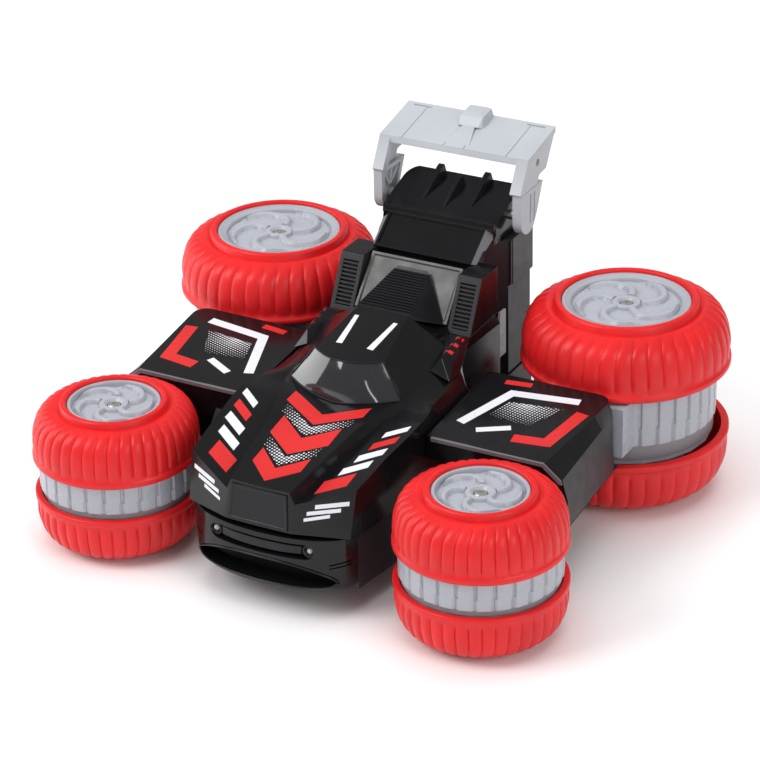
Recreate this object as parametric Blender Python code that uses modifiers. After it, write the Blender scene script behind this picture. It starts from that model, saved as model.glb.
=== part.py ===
"""A transforming radio-controlled stunt car, standing flat on its four wheel pods.

Units are metres.  +Z is up, the nose points along -Y, and X = 0 is the plane of symmetry.
The origin is on the floor under the middle of the car's overall length and width.
"""
import math

import bmesh
import bpy
from mathutils import Matrix, Vector

MM = 0.001
GAP = 0.3 * MM                    # air between two touching pieces

# Wheel pods: where their middles are, and the size of a tyre in each pod.
TRACK_HALF = 88.0 * MM
AXLE_Y = {"front": -76.4 * MM, "rear": 66.4 * MM}
TYRE_RADIUS = {"front": 36.5 * MM, "rear": 46.5 * MM}
DRUM_RADIUS = {"front": 33.0 * MM, "rear": 39.2 * MM}
DRUM_FOOT = {"front": -5.2 * MM, "rear": -8.5 * MM}      # lower end of the neck block, from the pod's middle
POD_HALF_HEIGHT = {"front": 32.8 * MM, "rear": 44.4 * MM}
LIP_HEIGHT = {"front": 7.9 * MM, "rear": 15.6 * MM}      # of the tyre's lip above the pod's middle
HUB_RADIUS = {"front": 20.2 * MM, "rear": 28.4 * MM}
BOSS_RADIUS = {"front": 6.4 * MM, "rear": 8.4 * MM}      # pivot boss that a pod tilts on
AXLE_RADIUS = 2.0 * MM
TYRE_STEPS = 28
DRUM_STEPS = 20
HUB_STEPS = 16
SMALL_STEPS = 10

# Body heights and outlines.
FLOOR_Z = 12.0 * MM
SEAM_Z = 38.0 * MM                # where the tub and the bumper meet the body shell
WALL = 2.0 * MM
TAIL_HALF = 30.8 * MM             # narrow enough for the rear pods to turn beside it
TUB_SPLIT_Y = 19.4 * MM           # where the front tub meets the narrow rear tub
TOWER_Y = (63.0 * MM, 89.4 * MM)
TOWER_FOOT_HALF = 29.0 * MM
TOWER_HALF = 30.2 * MM
TOWER_WAIST_Z = (58.0 * MM, 64.0 * MM)   # the tower widens between these heights
TOWER_STEP_Z = 82.0 * MM
TOWER_TOP_Z = 104.8 * MM
TOWER_WIDE_HALF = 31.6 * MM

# Wings between the front and the rear pods.
WING_Y = (-39.4 * MM, 19.4 * MM)
WING_SPLIT_Z = 33.0 * MM
WING_ROOT_X = 44.4 * MM

# Spoiler: pivot line and the side face of its arms.
SPOILER_PIVOT = Vector((0.0, 73.5, 114.0)) * MM
ARM_X = (32.6 * MM, 37.0 * MM)
ARM_RADIUS = 7.6 * MM
DECK_HALF = 28.0 * MM

# Battery bay and switch in the floor of the tub.
BAY_HALF = 20.0 * MM
BAY_Y = (-62.0 * MM, 2.0 * MM)
SWITCH_Y = 30.0 * MM

COLOURS = {
    "gloss_black": ((0.012, 0.012, 0.015), 0.18, 0.0),
    "satin_charcoal": ((0.05, 0.05, 0.055), 0.45, 0.0),
    "warm_grey": ((0.12, 0.115, 0.11), 0.40, 0.0),
    "smoked_clear": ((0.02, 0.022, 0.028), 0.05, 0.0),
    "tyre_red": ((0.80, 0.03, 0.03), 0.45, 0.0),
    "light_grey": ((0.50, 0.52, 0.56), 0.40, 0.0),
    "pale_grey": ((0.62, 0.65, 0.70), 0.40, 0.0),
    "steel": ((0.60, 0.60, 0.58), 0.30, 1.0),
    "lens": ((0.80, 0.80, 0.78), 0.10, 0.0),
    "board_green": ((0.02, 0.16, 0.07), 0.50, 0.0),
    "cell_blue": ((0.03, 0.10, 0.35), 0.40, 0.0),
}


def clear_scene():
    for thing in list(bpy.data.objects):
        bpy.data.objects.remove(thing, do_unlink=True)


def collection(name):
    group = bpy.data.collections.new(name)
    bpy.context.scene.collection.children.link(group)
    return group


def material(name):
    """The Principled material of that name, made on first use."""
    if name in bpy.data.materials:
        return bpy.data.materials[name]
    colour, roughness, metallic = COLOURS[name]
    made = bpy.data.materials.new(name)
    made.use_nodes = True
    shader = made.node_tree.nodes["Principled BSDF"]
    shader.inputs["Base Color"].default_value = (*colour, 1.0)
    shader.inputs["Roughness"].default_value = roughness
    shader.inputs["Metallic"].default_value = metallic
    made.diffuse_color = (*colour, 1.0)
    return made


def add_object(name, mesh_or_bm, finish, parent=None):
    """A part made of a bmesh or a mesh, with its finish, in the car's collection."""
    if isinstance(mesh_or_bm, bmesh.types.BMesh):
        bmesh.ops.recalc_face_normals(mesh_or_bm, faces=mesh_or_bm.faces)
        mesh = bpy.data.meshes.new(name)
        mesh_or_bm.to_mesh(mesh)
        mesh_or_bm.free()
    else:
        mesh = mesh_or_bm
    thing = bpy.data.objects.new(name, mesh)
    thing.data.materials.append(material(finish))
    CAR.objects.link(thing)
    thing.parent = parent
    return thing


def as_cutter(thing):
    """Keep a shape only as a Boolean operand."""
    CAR.objects.unlink(thing)
    CUTTERS.objects.link(thing)
    thing.hide_render = True
    thing.display_type = "WIRE"
    return thing


def boolean(thing, operand, operation):
    modifier = thing.modifiers.new(operation.title(), "BOOLEAN")
    modifier.operation = operation
    modifier.object = as_cutter(operand)
    modifier.solver = "EXACT"


def bevel(thing, width, segments=1, angle=35.0):
    modifier = thing.modifiers.new("Bevel", "BEVEL")
    modifier.width = width
    modifier.segments = segments
    modifier.limit_method = "ANGLE"
    modifier.angle_limit = math.radians(angle)


def box_bm(low, high):
    """A box between two corners given in millimetres."""
    bm = bmesh.new()
    bmesh.ops.create_cube(bm, size=1.0)
    low, high = Vector(low) * MM, Vector(high) * MM
    size = high - low
    bmesh.ops.scale(bm, vec=size, verts=bm.verts)
    bmesh.ops.translate(bm, vec=(low + high) / 2, verts=bm.verts)
    return bm


def rod_bm(radius, start, end, sides=SMALL_STEPS, end_radius=None):
    """A capped round rod, or a cone, between two points in metres."""
    start, end = Vector(start), Vector(end)
    bm = bmesh.new()
    bmesh.ops.create_cone(bm, cap_ends=True, segments=sides, radius1=radius,
                          radius2=radius if end_radius is None else end_radius,
                          depth=(end - start).length)
    turn = (end - start).to_track_quat("Z", "Y").to_matrix().to_4x4()
    bmesh.ops.transform(bm, matrix=Matrix.Translation((start + end) / 2) @ turn, verts=bm.verts)
    return bm


def prism_bm(outline, axis, low, high):
    """A flat outline in millimetres, extruded along an axis from low to high metres.

    The outline's two numbers are the other two coordinates, in X, Y, Z order.
    """
    bm = bmesh.new()
    corners = []
    for first, second in outline:
        place = {"X": (low, first * MM, second * MM),
                 "Y": (first * MM, low, second * MM),
                 "Z": (first * MM, second * MM, low)}[axis]
        corners.append(bm.verts.new(place))
    face = bm.faces.new(corners)
    grown = bmesh.ops.extrude_face_region(bm, geom=[face])
    moved = [item for item in grown["geom"] if isinstance(item, bmesh.types.BMVert)]
    step = {"X": (high - low, 0, 0), "Y": (0, high - low, 0), "Z": (0, 0, high - low)}[axis]
    bmesh.ops.translate(bm, vec=step, verts=moved)
    return bm


def hull_bm(points):
    """The convex hull of points in millimetres."""
    bm = bmesh.new()
    for point in points:
        bm.verts.new(Vector(point) * MM)
    bmesh.ops.convex_hull(bm, input=bm.verts)
    return bm


def both_sides(points):
    """The points and their mirror images across X = 0."""
    return list(points) + [(-x, y, z) for x, y, z in points]


def mirrored_outline(half):
    """A closed outline symmetric about its first coordinate, from its positive half."""
    return list(half) + [(-first, second) for first, second in reversed(half)]


def loft_bm(rows):
    """An open surface through rows of points in millimetres, all with the same count."""
    bm = bmesh.new()
    grid = [[bm.verts.new(Vector(point) * MM) for point in row] for row in rows]
    for row, following in zip(grid, grid[1:]):
        for index in range(len(row) - 1):
            bm.faces.new((row[index], row[index + 1], following[index + 1], following[index]))
    return bm


def solidify(thing, thickness, offset):
    modifier = thing.modifiers.new("Wall", "SOLIDIFY")
    modifier.thickness = thickness
    modifier.offset = offset
    modifier.use_even_offset = True


def turned(name, profile, finish, steps, parent=None):
    """A (radius, height) outline in metres, turned about its object's Z axis.

    The outline is closed, and an edge along the axis itself is left out.
    """
    corners = list(zip(profile, profile[1:] + profile[:1]))
    area = sum(here[0] * after[1] - after[0] * here[1] for here, after in corners)
    if area > 0:
        profile = profile[::-1]
    count = len(profile)
    edges = [(index, (index + 1) % count) for index in range(count)]
    edges = [edge for edge in edges if profile[edge[0]][0] > 0 or profile[edge[1]][0] > 0]
    mesh = bpy.data.meshes.new(name)
    mesh.from_pydata([(radius, 0.0, height) for radius, height in profile], edges, [])
    thing = add_object(name, mesh, finish, parent)
    screw = thing.modifiers.new("Turn", "SCREW")
    screw.steps = steps
    screw.render_steps = steps
    screw.use_merge_vertices = True
    screw.merge_threshold = 0.00001
    return thing


# ---------------------------------------------------------------- wheel pods

def tyre_profile(end):
    """Cup-shaped tyre: a lip near the pod's middle, a domed tread and a flat bead around the hub."""
    radius, top, lip, hub = TYRE_RADIUS[end], POD_HALF_HEIGHT[end], LIP_HEIGHT[end], HUB_RADIUS[end]
    rise = top - lip
    outer = [(1.0, 0.32), (0.97, 0.55), (0.90, 0.78), (0.80, 0.90)]
    inner = [(0.74, 0.80), (0.90, 0.52)]
    points = [(hub + GAP, top - 3.2 * MM), (hub + GAP, top), (0.67 * radius, top)]
    points += [(part * radius, lip + share * rise) for part, share in reversed(outer)]
    points += [(radius, lip), (0.925 * radius, lip)]
    points += [(part * radius, lip + share * rise) for part, share in reversed(inner)]
    return points


def hub_profile(end):
    """Dished hub: a thin rim, a disc, and a boss that takes the screw above and the axle below."""
    radius, top = HUB_RADIUS[end], POD_HALF_HEIGHT[end]
    disc = top - 3.4 * MM
    foot = LIP_HEIGHT[end] + 5.0 * MM
    bore = AXLE_RADIUS + GAP
    return [(1.5 * MM, disc - 1.0 * MM), (3.1 * MM, disc - 1.0 * MM), (3.1 * MM, top - 2.0 * MM),
            (6.2 * MM, top - 2.0 * MM), (6.2 * MM, disc), (radius - 1.5 * MM, disc),
            (radius - 1.5 * MM, top - 1.0 * MM), (radius, top - 1.0 * MM),
            (radius, disc - 2.4 * MM), (5.2 * MM, disc - 2.4 * MM), (5.2 * MM, foot),
            (bore, foot), (bore, disc - 7.0 * MM), (1.5 * MM, disc - 7.0 * MM)]


def gearcase_profile(end):
    """Drum between the two tyres: a round wall, a web in the middle and a tube for the axle."""
    wall = DRUM_RADIUS[end]
    half = LIP_HEIGHT[end] + 2.0 * MM
    tube = AXLE_RADIUS + GAP
    web = 1.2 * MM
    upper = [(tube, half), (tube + 2.6 * MM, half), (tube + 2.6 * MM, web),
             (wall - WALL, web), (wall - WALL, half), (wall, half)]
    return upper + [(radius, -height) for radius, height in reversed(upper)]


def pod_neck(end, toward_wing):
    """Squared block that joins the drum to its pivot boss, on the side facing the wing."""
    wall = DRUM_RADIUS[end]
    reach = TYRE_RADIUS[end] - 0.1 * MM
    half_width = 0.50 * wall
    inner = math.sqrt((wall - 0.6 * MM) ** 2 - half_width ** 2)
    near, far = sorted((toward_wing * inner, toward_wing * reach))
    top = LIP_HEIGHT[end] - 1.0 * MM
    return box_bm((-half_width / MM, near / MM, DRUM_FOOT[end] / MM), (half_width / MM, far / MM, top / MM))


def gear_bm(radius, teeth, low, high):
    """A solid spur gear standing on the Z axis."""
    outline = []
    for tooth in range(teeth):
        for share, height in ((0.0, 0.86), (0.2, 1.0), (0.5, 1.0), (0.7, 0.86)):
            angle = 2 * math.pi * (tooth + share) / teeth
            outline.append((radius * height * math.cos(angle) / MM, radius * height * math.sin(angle) / MM))
    return prism_bm(outline, "Z", low, high)


def headed_axle_profile(end):
    """A long bolt: its head holds the lower hub and its shank runs through the pod's tube."""
    top = POD_HALF_HEIGHT[end]
    head, neck, shoulder = top - 2.2 * MM, top - 4.1 * MM, top - 11.6 * MM
    return [(0.0, -head), (2.7 * MM, -head), (2.7 * MM, -neck), (1.2 * MM, -neck),
            (1.2 * MM, -shoulder), (AXLE_RADIUS, -shoulder), (AXLE_RADIUS, shoulder - 1.0 * MM),
            (0.0, shoulder - 1.0 * MM)]


def build_pod(end, side_name, side):
    """One pod: drum, axle, gear, and a hub and a tyre at each end of the axle."""
    tag = f"{end}_{side_name}"
    centre = bpy.data.objects.new(f"pod_centre_{tag}", None)
    centre.location = (side * TRACK_HALF, AXLE_Y[end], POD_HALF_HEIGHT[end])
    CAR.objects.link(centre)
    toward_wing = 1.0 if end == "front" else -1.0
    top = POD_HALF_HEIGHT[end]

    drum = turned(f"gearcase_{tag}", gearcase_profile(end), "light_grey", DRUM_STEPS, centre)
    neck = add_object(f"neck_{tag}", pod_neck(end, toward_wing), "light_grey", centre)
    boolean(drum, neck, "UNION")
    start = toward_wing * (TYRE_RADIUS[end] - 2.0 * MM)
    finish = toward_wing * (TYRE_RADIUS[end] + 5.0 * MM)
    boss = add_object(f"boss_{tag}", rod_bm(BOSS_RADIUS[end], (0, start, 0), (0, finish, 0)),
                      "light_grey", centre)
    boolean(drum, boss, "UNION")

    turned(f"axle_{tag}", headed_axle_profile(end), "steel", SMALL_STEPS, centre)
    gear = add_object(f"drive_gear_{tag}", gear_bm(9.0 * MM, 14, 2.0 * MM, 5.0 * MM), "pale_grey", centre)
    bore = add_object(f"gear_bore_{tag}", rod_bm(4.9 * MM + GAP, (0, 0, 0), (0, 0, 7.0 * MM)), "pale_grey",
                      centre)
    boolean(gear, bore, "DIFFERENCE")

    for level, flip in (("upper", 0.0), ("lower", math.pi)):
        tyre = turned(f"tyre_{level}_{tag}", tyre_profile(end), "tyre_red", TYRE_STEPS, centre)
        hub = turned(f"hub_{level}_{tag}", hub_profile(end), "light_grey", HUB_STEPS, centre)
        tyre.rotation_euler = (flip, 0.0, 0.0)
        hub.rotation_euler = (flip, 0.0, 0.0)
    head = top - 2.2 * MM
    screw = [(0.0, head), (2.7 * MM, head), (2.7 * MM, head - 1.9 * MM), (1.2 * MM, head - 1.9 * MM),
             (1.2 * MM, head - 8.0 * MM), (0.0, head - 8.0 * MM)]
    turned(f"axle_screw_{tag}", screw, "steel", SMALL_STEPS, centre)


# ---------------------------------------------------------------- body

def build_body_shell():
    """Half of the upper body, lofted from nose to tail and mirrored; the wall grows inwards."""
    rows = [
        [(0, -105.6, 40.0), (15.0, -105.3, 40.0), (16.6, -104.8, 40.0), (38.6, -97.0, 39.0),
         (39.0, -95.6, 38.2)],
        [(0, -103.2, 57.3), (13.9, -102.8, 57.3), (16.2, -102.6, 52.6), (39.2, -91.6, 59.4),
         (40.2, -89.6, 38.2)],
        [(0, -70.0, 63.0), (18.2, -70.0, 63.8), (20.2, -70.0, 58.8), (41.0, -68.0, 64.0),
         (42.4, -68.0, 38.2)],
        [(0, -42.0, 66.6), (23.4, -42.0, 69.6), (25.6, -42.0, 65.2), (41.6, -41.0, 65.6),
         (43.6, -41.0, 38.2)],
        [(0, -36.0, 67.0), (25.0, -28.4, 67.4), (30.0, -29.0, 65.4), (40.0, -30.0, 64.2),
         (43.6, -30.0, 38.2)],
        [(0, -28.8, 82.2), (15.4, -24.9, 82.2), (27.6, -20.0, 71.0), (38.0, -18.0, 64.6),
         (43.6, -16.0, 38.2)],
        [(0, 4.2, 90.0), (12.2, 4.2, 89.8), (28.0, 4.2, 78.0), (38.0, 4.2, 67.0), (43.6, 4.2, 38.2)],
        tail_row(19.0),
    ]
    mirrored_shell("body_shell", rows)


def tail_row(y):
    """Half of the section across the narrow tail, at a given Y in millimetres."""
    half = TAIL_HALF / MM
    return [(0, y, 79.2), (11.0, y, 79.0), (23.0, y, 76.8), (half, y, 68.0), (half, y, 38.2)]


def build_tail_cover():
    """Narrow part of the body's top, between the cabin and the tower."""
    mirrored_shell("tail_cover", [tail_row(19.3), tail_row(TOWER_Y[0] / MM - 0.5)])


def mirrored_shell(name, rows):
    """Body panel from half of its rows of points; the wall grows inwards."""
    shell = add_object(name, loft_bm(rows), "gloss_black")
    mirror = shell.modifiers.new("Mirror", "MIRROR")
    mirror.merge_threshold = 0.0001
    solidify(shell, 1.8 * MM, -1.0)


def open_tray(name, half):
    """Open-topped tray over a mirrored outline; its corners run from front to back, in millimetres."""
    wall = WALL / MM
    tray = add_object(name, prism_bm(mirrored_outline(half), "Z", FLOOR_Z, SEAM_Z - GAP), "satin_charcoal")
    front, back = half[0][1] + wall, half[-1][1] - wall
    inner = [(x - wall, min(max(y, front), back)) for x, y in half]
    room = prism_bm(mirrored_outline(inner), "Z", FLOOR_Z + WALL, SEAM_Z + WALL)
    hollow = add_object(f"{name}_hollow", room, "satin_charcoal")
    boolean(tray, hollow, "DIFFERENCE")
    return tray


def build_chassis():
    """Front tub with the battery bay and narrow rear tub with the switch slot, cut through the floors."""
    split = TUB_SPLIT_Y / MM
    tub = open_tray("chassis_tub", [(38.4, -90.6), (41.8, -68.0), (43.4, -41.0), (43.4, split - GAP / MM)])
    tail = TAIL_HALF / MM
    rear = open_tray("rear_tub", [(tail, split), (tail, TOWER_Y[1] / MM)])
    edge = BAY_HALF / MM + 0.3
    bay = box_bm((-edge, BAY_Y[0] / MM - 0.3, 10), (edge, BAY_Y[1] / MM + 0.3, 16))
    boolean(tub, add_object("bay_cut", bay, "satin_charcoal"), "DIFFERENCE")
    slot = box_bm((-2.8, SWITCH_Y / MM - 3.4, 10), (2.8, SWITCH_Y / MM + 7.4, 16))
    boolean(rear, add_object("switch_slot", slot, "satin_charcoal"), "DIFFERENCE")

    add_object("battery_door", box_bm((-20, BAY_Y[0] / MM, 12), (20, BAY_Y[1] / MM, 14)), "satin_charcoal")
    knob = box_bm((-2.4, SWITCH_Y / MM - 3, 10.8), (2.4, SWITCH_Y / MM + 3, 13.6))
    add_object("power_switch", knob, "pale_grey")
    pack = add_object("battery_pack", box_bm((-17, -60, 14.4), (17, 0, 33)), "cell_blue")
    bevel(pack, 3.0 * MM, 2)
    add_object("circuit_board", box_bm((-26, 24, 44), (26, 54, 45.6)), "board_green")
    tower_middle = (TOWER_Y[0] + TOWER_Y[1]) / 2
    motor = rod_bm(10.0 * MM, (-15.0 * MM, tower_middle, 60.0 * MM), (15.0 * MM, tower_middle, 60.0 * MM), 24)
    add_object("transform_motor", motor, "steel")
    for side_name, side in SIDES:
        middle = side * TRACK_HALF
        motor = rod_bm(9.0 * MM, (middle, -24.0 * MM, 46.0 * MM), (middle, 4.0 * MM, 46.0 * MM), 24)
        add_object(f"drive_motor_{side_name}", motor, "steel")


def build_bumper():
    """Lower nose with a wide mouth and two sockets for the lamps."""
    half = [(0, -107.2), (14.0, -106.2), (27.0, -102.8), (35.0, -97.6), (38.6, -92.2), (38.6, -90.9)]
    outline = half + [(-x, y) for x, y in reversed(half[1:])]
    bumper = add_object("front_bumper", prism_bm(outline, "Z", 13.0 * MM, SEAM_Z - GAP), "gloss_black")
    mouth = mirrored_outline([(12.0, 15.6), (33.0, 17.6), (28.0, 23.0), (20.0, 26.6)])
    cut = add_object("mouth_cut", prism_bm(mouth, "Y", -112.0 * MM, -94.6 * MM), "gloss_black")
    boolean(bumper, cut, "DIFFERENCE")
    for side_name, side in SIDES:
        x, z = side * 22.3 * MM, 32.3 * MM
        socket = rod_bm(2.9 * MM, (x, -110.0 * MM, z), (x, -99.0 * MM, z))
        boolean(bumper, add_object(f"lamp_socket_{side_name}", socket, "gloss_black"), "DIFFERENCE")
        lens = rod_bm(2.5 * MM, (x, -99.3 * MM, z), (x, -103.8 * MM, z), SMALL_STEPS, 1.6 * MM)
        add_object(f"lamp_lens_{side_name}", lens, "lens")


def build_windshield():
    """Curved smoked screen in front of the cabin, bowed forward between its two corners."""
    columns = 12
    rows = []
    for half_width, corner_y, bow, height in ((27.0, -29.6, 10.4, 68.6), (16.6, -26.2, 7.4, 83.2)):
        row = []
        for step in range(columns + 1):
            share = 2.0 * step / columns - 1.0
            row.append((half_width * share, corner_y - bow * (1.0 - share * share), height))
        rows.append(row)
    screen = add_object("windshield", loft_bm(rows), "smoked_clear")
    solidify(screen, 1.2 * MM, -1.0)
    return screen


def build_cabin_rear():
    """Louvred ramp, the panel behind it and the two louvred boxes."""
    ramp = hull_bm(both_sides([(12.3, 6.2, 90.9), (13.0, 6.8, 89.8), (7.1, 32.2, 98.2), (21.5, 20.4, 81.4)]))
    add_object("roof_louver", ramp, "gloss_black")
    panel = [(20.8, 80.4), (38.4, 100.9), (40.2, 99.9), (22.6, 79.4)]
    add_object("rear_panel", prism_bm(panel, "X", -22.9 * MM, 22.9 * MM), "warm_grey")
    side_face = [(19.6, 78.6), (31.8, 101.2), (41.2, 101.0), (41.2, 79.6)]
    for side_name, side in SIDES:
        low, high = sorted((side * 23.4 * MM, side * 34.6 * MM))
        add_object(f"side_louver_{side_name}", prism_bm(side_face, "X", low, high), "satin_charcoal")


def build_tower():
    """Hollow rear tower, wider above its step, with the sloping scoop deck on top."""
    front, back = TOWER_Y
    low, middle, wide = TOWER_FOOT_HALF / MM, TOWER_HALF / MM, TOWER_WIDE_HALF / MM
    waist = [height / MM for height in TOWER_WAIST_Z]
    step, top, wall = TOWER_STEP_Z / MM, TOWER_TOP_Z / MM, WALL / MM
    section = [(low, (SEAM_Z + GAP) / MM), (low, waist[0]), (middle, waist[1]), (middle, step), (wide, step),
               (wide, top)]
    tower = add_object("rear_tower", prism_bm(mirrored_outline(section), "Y", front + GAP, back),
                       "satin_charcoal")
    inner = [(low - wall, (SEAM_Z - WALL) / MM), (low - wall, waist[0]), (middle - wall, waist[1]),
             (middle - wall, step + wall), (wide - wall, step + wall), (wide - wall, top - wall)]
    hollow = add_object("tower_hollow", prism_bm(mirrored_outline(inner), "Y", front + WALL, back - WALL),
                        "satin_charcoal")
    boolean(tower, hollow, "DIFFERENCE")

    deck_face = [(42.0, 101.6), (57.0, 112.4), (58.6, 114.7), (86.4, 123.2), (88.4, 121.6), (88.4, 105.2),
                 (51.0, 105.2), (44.6, 101.4)]
    deck = add_object("scoop_deck", prism_bm(deck_face, "X", -DECK_HALF, DECK_HALF), "gloss_black")
    hollow_face = [(54.0, 103.0), (54.0, 107.6), (60.4, 112.6), (85.2, 120.2), (86.4, 119.0), (86.4, 103.0)]
    hollow = add_object("deck_hollow", prism_bm(hollow_face, "X", -DECK_HALF + WALL, DECK_HALF - WALL),
                        "gloss_black")
    boolean(deck, hollow, "DIFFERENCE")
    for centre, start, end in ((-11.8, 64.0, 86.0), (0.0, 60.5, 80.0), (11.8, 64.0, 86.0)):
        slope = (123.2 - 114.7) / (86.4 - 58.6)
        base = 114.7 + slope * (start - 58.6)
        tail = 114.7 + slope * (end - 58.6)
        fin = [(start, base - 0.6), (end - 3, tail + 3.4), (end, tail + 3.0), (end, tail - 0.8)]
        wedge = prism_bm(fin, "X", (centre - 1.6) * MM, (centre + 1.6) * MM)
        boolean(deck, add_object(f"fin_{centre:+.0f}", wedge, "gloss_black"), "UNION")
    for side in (-1, 1):
        hole = rod_bm(2.5 * MM, (side * (DECK_HALF - 3.0 * MM), SPOILER_PIVOT.y, SPOILER_PIVOT.z),
                      (side * (DECK_HALF + 1.0 * MM), SPOILER_PIVOT.y, SPOILER_PIVOT.z))
        boolean(deck, add_object(f"pivot_hole_{side:+d}", hole, "gloss_black"), "DIFFERENCE")


def arc(centre, radius, start, end, steps):
    """Points on an arc in millimetres, from one angle to another in degrees."""
    points = []
    for step in range(steps + 1):
        angle = math.radians(start + (end - start) * step / steps)
        points.append((centre[0] + radius * math.cos(angle), centre[1] + radius * math.sin(angle)))
    return points


def build_spoiler():
    """Spoiler blade with turned-down end plates, on two round-ended arms that pivot on the deck."""
    blade_face = [(73.0, 141.7), (101.5, 147.5), (101.0, 145.0), (72.2, 138.4)]
    blade = add_object("spoiler_blade", prism_bm(blade_face, "X", -37.0 * MM, 37.0 * MM), "pale_grey")
    plate_face = [(72.6, 139.6), (101.2, 146.4), (91.0, 131.0), (84.0, 130.6), (82.0, 127.0), (65.6, 126.8)]
    for side in (-1, 1):
        low, high = sorted((side * 33.4 * MM, side * 37.0 * MM))
        boolean(blade, add_object(f"end_plate_{side:+d}", prism_bm(plate_face, "X", low, high), "pale_grey"),
                "UNION")
    bump_corners = [(6.4, 90.0, 144.0), (6.4, 101.4, 146.0), (4.6, 92.0, 150.0), (4.6, 101.0, 151.4)]
    bump = hull_bm(both_sides(bump_corners))
    boolean(blade, add_object("bump", bump, "pale_grey"), "UNION")

    pivot = (SPOILER_PIVOT.y / MM, SPOILER_PIVOT.z / MM)
    face = arc(pivot, ARM_RADIUS / MM, 180.0, 335.0, 10) + [(88.4, 126.4), (66.2, 126.4)]
    for side_name, side in SIDES:
        low, high = sorted((side * ARM_X[0], side * ARM_X[1]))
        arm = add_object(f"spoiler_arm_{side_name}", prism_bm(face, "X", low, high), "pale_grey")
        pin = rod_bm(2.2 * MM, (side * (DECK_HALF - 2.0 * MM), SPOILER_PIVOT.y, SPOILER_PIVOT.z),
                     (side * (ARM_X[0] + 1.0 * MM), SPOILER_PIVOT.y, SPOILER_PIVOT.z))
        boolean(arm, add_object(f"arm_pin_{side_name}", pin, "pale_grey"), "UNION")


# ---------------------------------------------------------------- wings

def wing_section(rear):
    """Outline of a wing across the car, at its front or its rear end, above the split."""
    split = WING_SPLIT_Z / MM
    root = WING_ROOT_X / MM
    if rear:
        top = [(root, 64.6), (102.6, 65.0), (105.6, 61.0), (106.6, 52.0), (106.2, split)]
    else:
        top = [(root, 61.0), (97.6, 61.2), (107.0, 54.6), (109.6, 45.0), (110.0, split)]
    return [(root, 50.0)] + top + [(66.0, split), (64.0, 50.0)]


def shrink(section, amount):
    """The same outline moved in by an amount, worked out edge by edge."""
    count = len(section)
    area = sum(section[i][0] * section[(i + 1) % count][1] - section[(i + 1) % count][0] * section[i][1]
               for i in range(count))
    turn = 1.0 if area > 0 else -1.0
    moved = []
    for index in range(count):
        before, here, after = (Vector(section[(index + step) % count]) for step in (-1, 0, 1))
        first, second = (here - before).normalized(), (after - here).normalized()
        normal_a = Vector((-first.y, first.x)) * turn
        normal_b = Vector((-second.y, second.x)) * turn
        middle = (normal_a + normal_b) / (1.0 + normal_a.dot(normal_b))
        moved.append(tuple(here + middle * amount))
    return moved


def two_ended_bm(front, rear, side, low, high):
    """A solid between a front and a rear outline with the same number of corners."""
    bm = bmesh.new()
    ends = []
    for outline, place in ((front, low), (rear, high)):
        ends.append([bm.verts.new((side * x * MM, place, z * MM)) for x, z in outline])
    bm.faces.new(ends[0])
    bm.faces.new(ends[1])
    for index in range(len(front)):
        after = (index + 1) % len(front)
        bm.faces.new((ends[0][index], ends[0][after], ends[1][after], ends[1][index]))
    return bm


def pivot_hole(end, side):
    """Cutter for the hole that a pod's pivot boss turns in, through the wing's end wall."""
    wall = WING_Y[0] if end == "front" else WING_Y[1]
    outward = -1.0 if end == "front" else 1.0
    return rod_bm(BOSS_RADIUS[end] + GAP, (side * TRACK_HALF, wall + outward * 1.0 * MM, POD_HALF_HEIGHT[end]),
                  (side * TRACK_HALF, wall - outward * 6.0 * MM, POD_HALF_HEIGHT[end]), 24)


def build_wing(side_name, side):
    """Hollow wing in two halves that clamp the pivot bosses, with the end box outboard."""
    front, rear = wing_section(False), wing_section(True)
    wing = add_object(f"wing_upper_{side_name}", two_ended_bm(front, rear, side, *WING_Y), "gloss_black")
    inner_front, inner_rear = shrink(front, 1.8), shrink(rear, 1.8)
    # The hollow is open below: its lowest points drop through the split.
    drop = 3.0
    for outline in (inner_front, inner_rear):
        for index in (-1, 0):
            outline[index] = (outline[index][0], 50.0 - drop)
        for index in (-2, -3):
            outline[index] = (outline[index][0], WING_SPLIT_Z / MM - drop)
    hollow = two_ended_bm(inner_front, inner_rear, side, WING_Y[0] + 1.8 * MM, WING_Y[1] - 1.8 * MM)
    boolean(wing, add_object(f"wing_hollow_{side_name}", hollow, "gloss_black"), "DIFFERENCE")

    split = WING_SPLIT_Z / MM - 0.3
    belly_front = [(66.0, split), (110.0, split), (101.0, 24.6), (74.0, 24.6)]
    belly_rear = [(66.0, split), (106.2, split), (98.0, 28.6), (74.0, 28.6)]
    base = add_object(f"wing_lower_{side_name}", two_ended_bm(belly_front, belly_rear, side, *WING_Y),
                      "satin_charcoal")
    pocket_front = [(69.0, split + 3.0), (107.4, split + 3.0), (100.0, 26.6), (75.4, 26.6)]
    pocket_rear = [(69.0, split + 3.0), (103.6, split + 3.0), (97.0, 30.6), (75.4, 30.6)]
    pocket = two_ended_bm(pocket_front, pocket_rear, side, WING_Y[0] + 1.8 * MM, WING_Y[1] - 1.8 * MM)
    boolean(base, add_object(f"base_pocket_{side_name}", pocket, "satin_charcoal"), "DIFFERENCE")
    for end in ("front", "rear"):
        for half, part in (("upper", wing), ("lower", base)):
            hole = add_object(f"hole_{half}_{end}_{side_name}", pivot_hole(end, side), "gloss_black")
            boolean(part, hole, "DIFFERENCE")


SIDES = (("left", -1), ("right", 1))

clear_scene()
CAR = collection("rc_stunt_car")
CUTTERS = collection("cutters")

build_body_shell()
build_tail_cover()
build_chassis()
build_bumper()
build_windshield()
build_cabin_rear()
build_tower()
build_spoiler()
for side_label, side_sign in SIDES:
    build_wing(side_label, side_sign)
    for pod_end in ("front", "rear"):
        build_pod(pod_end, side_label, side_sign)
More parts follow.
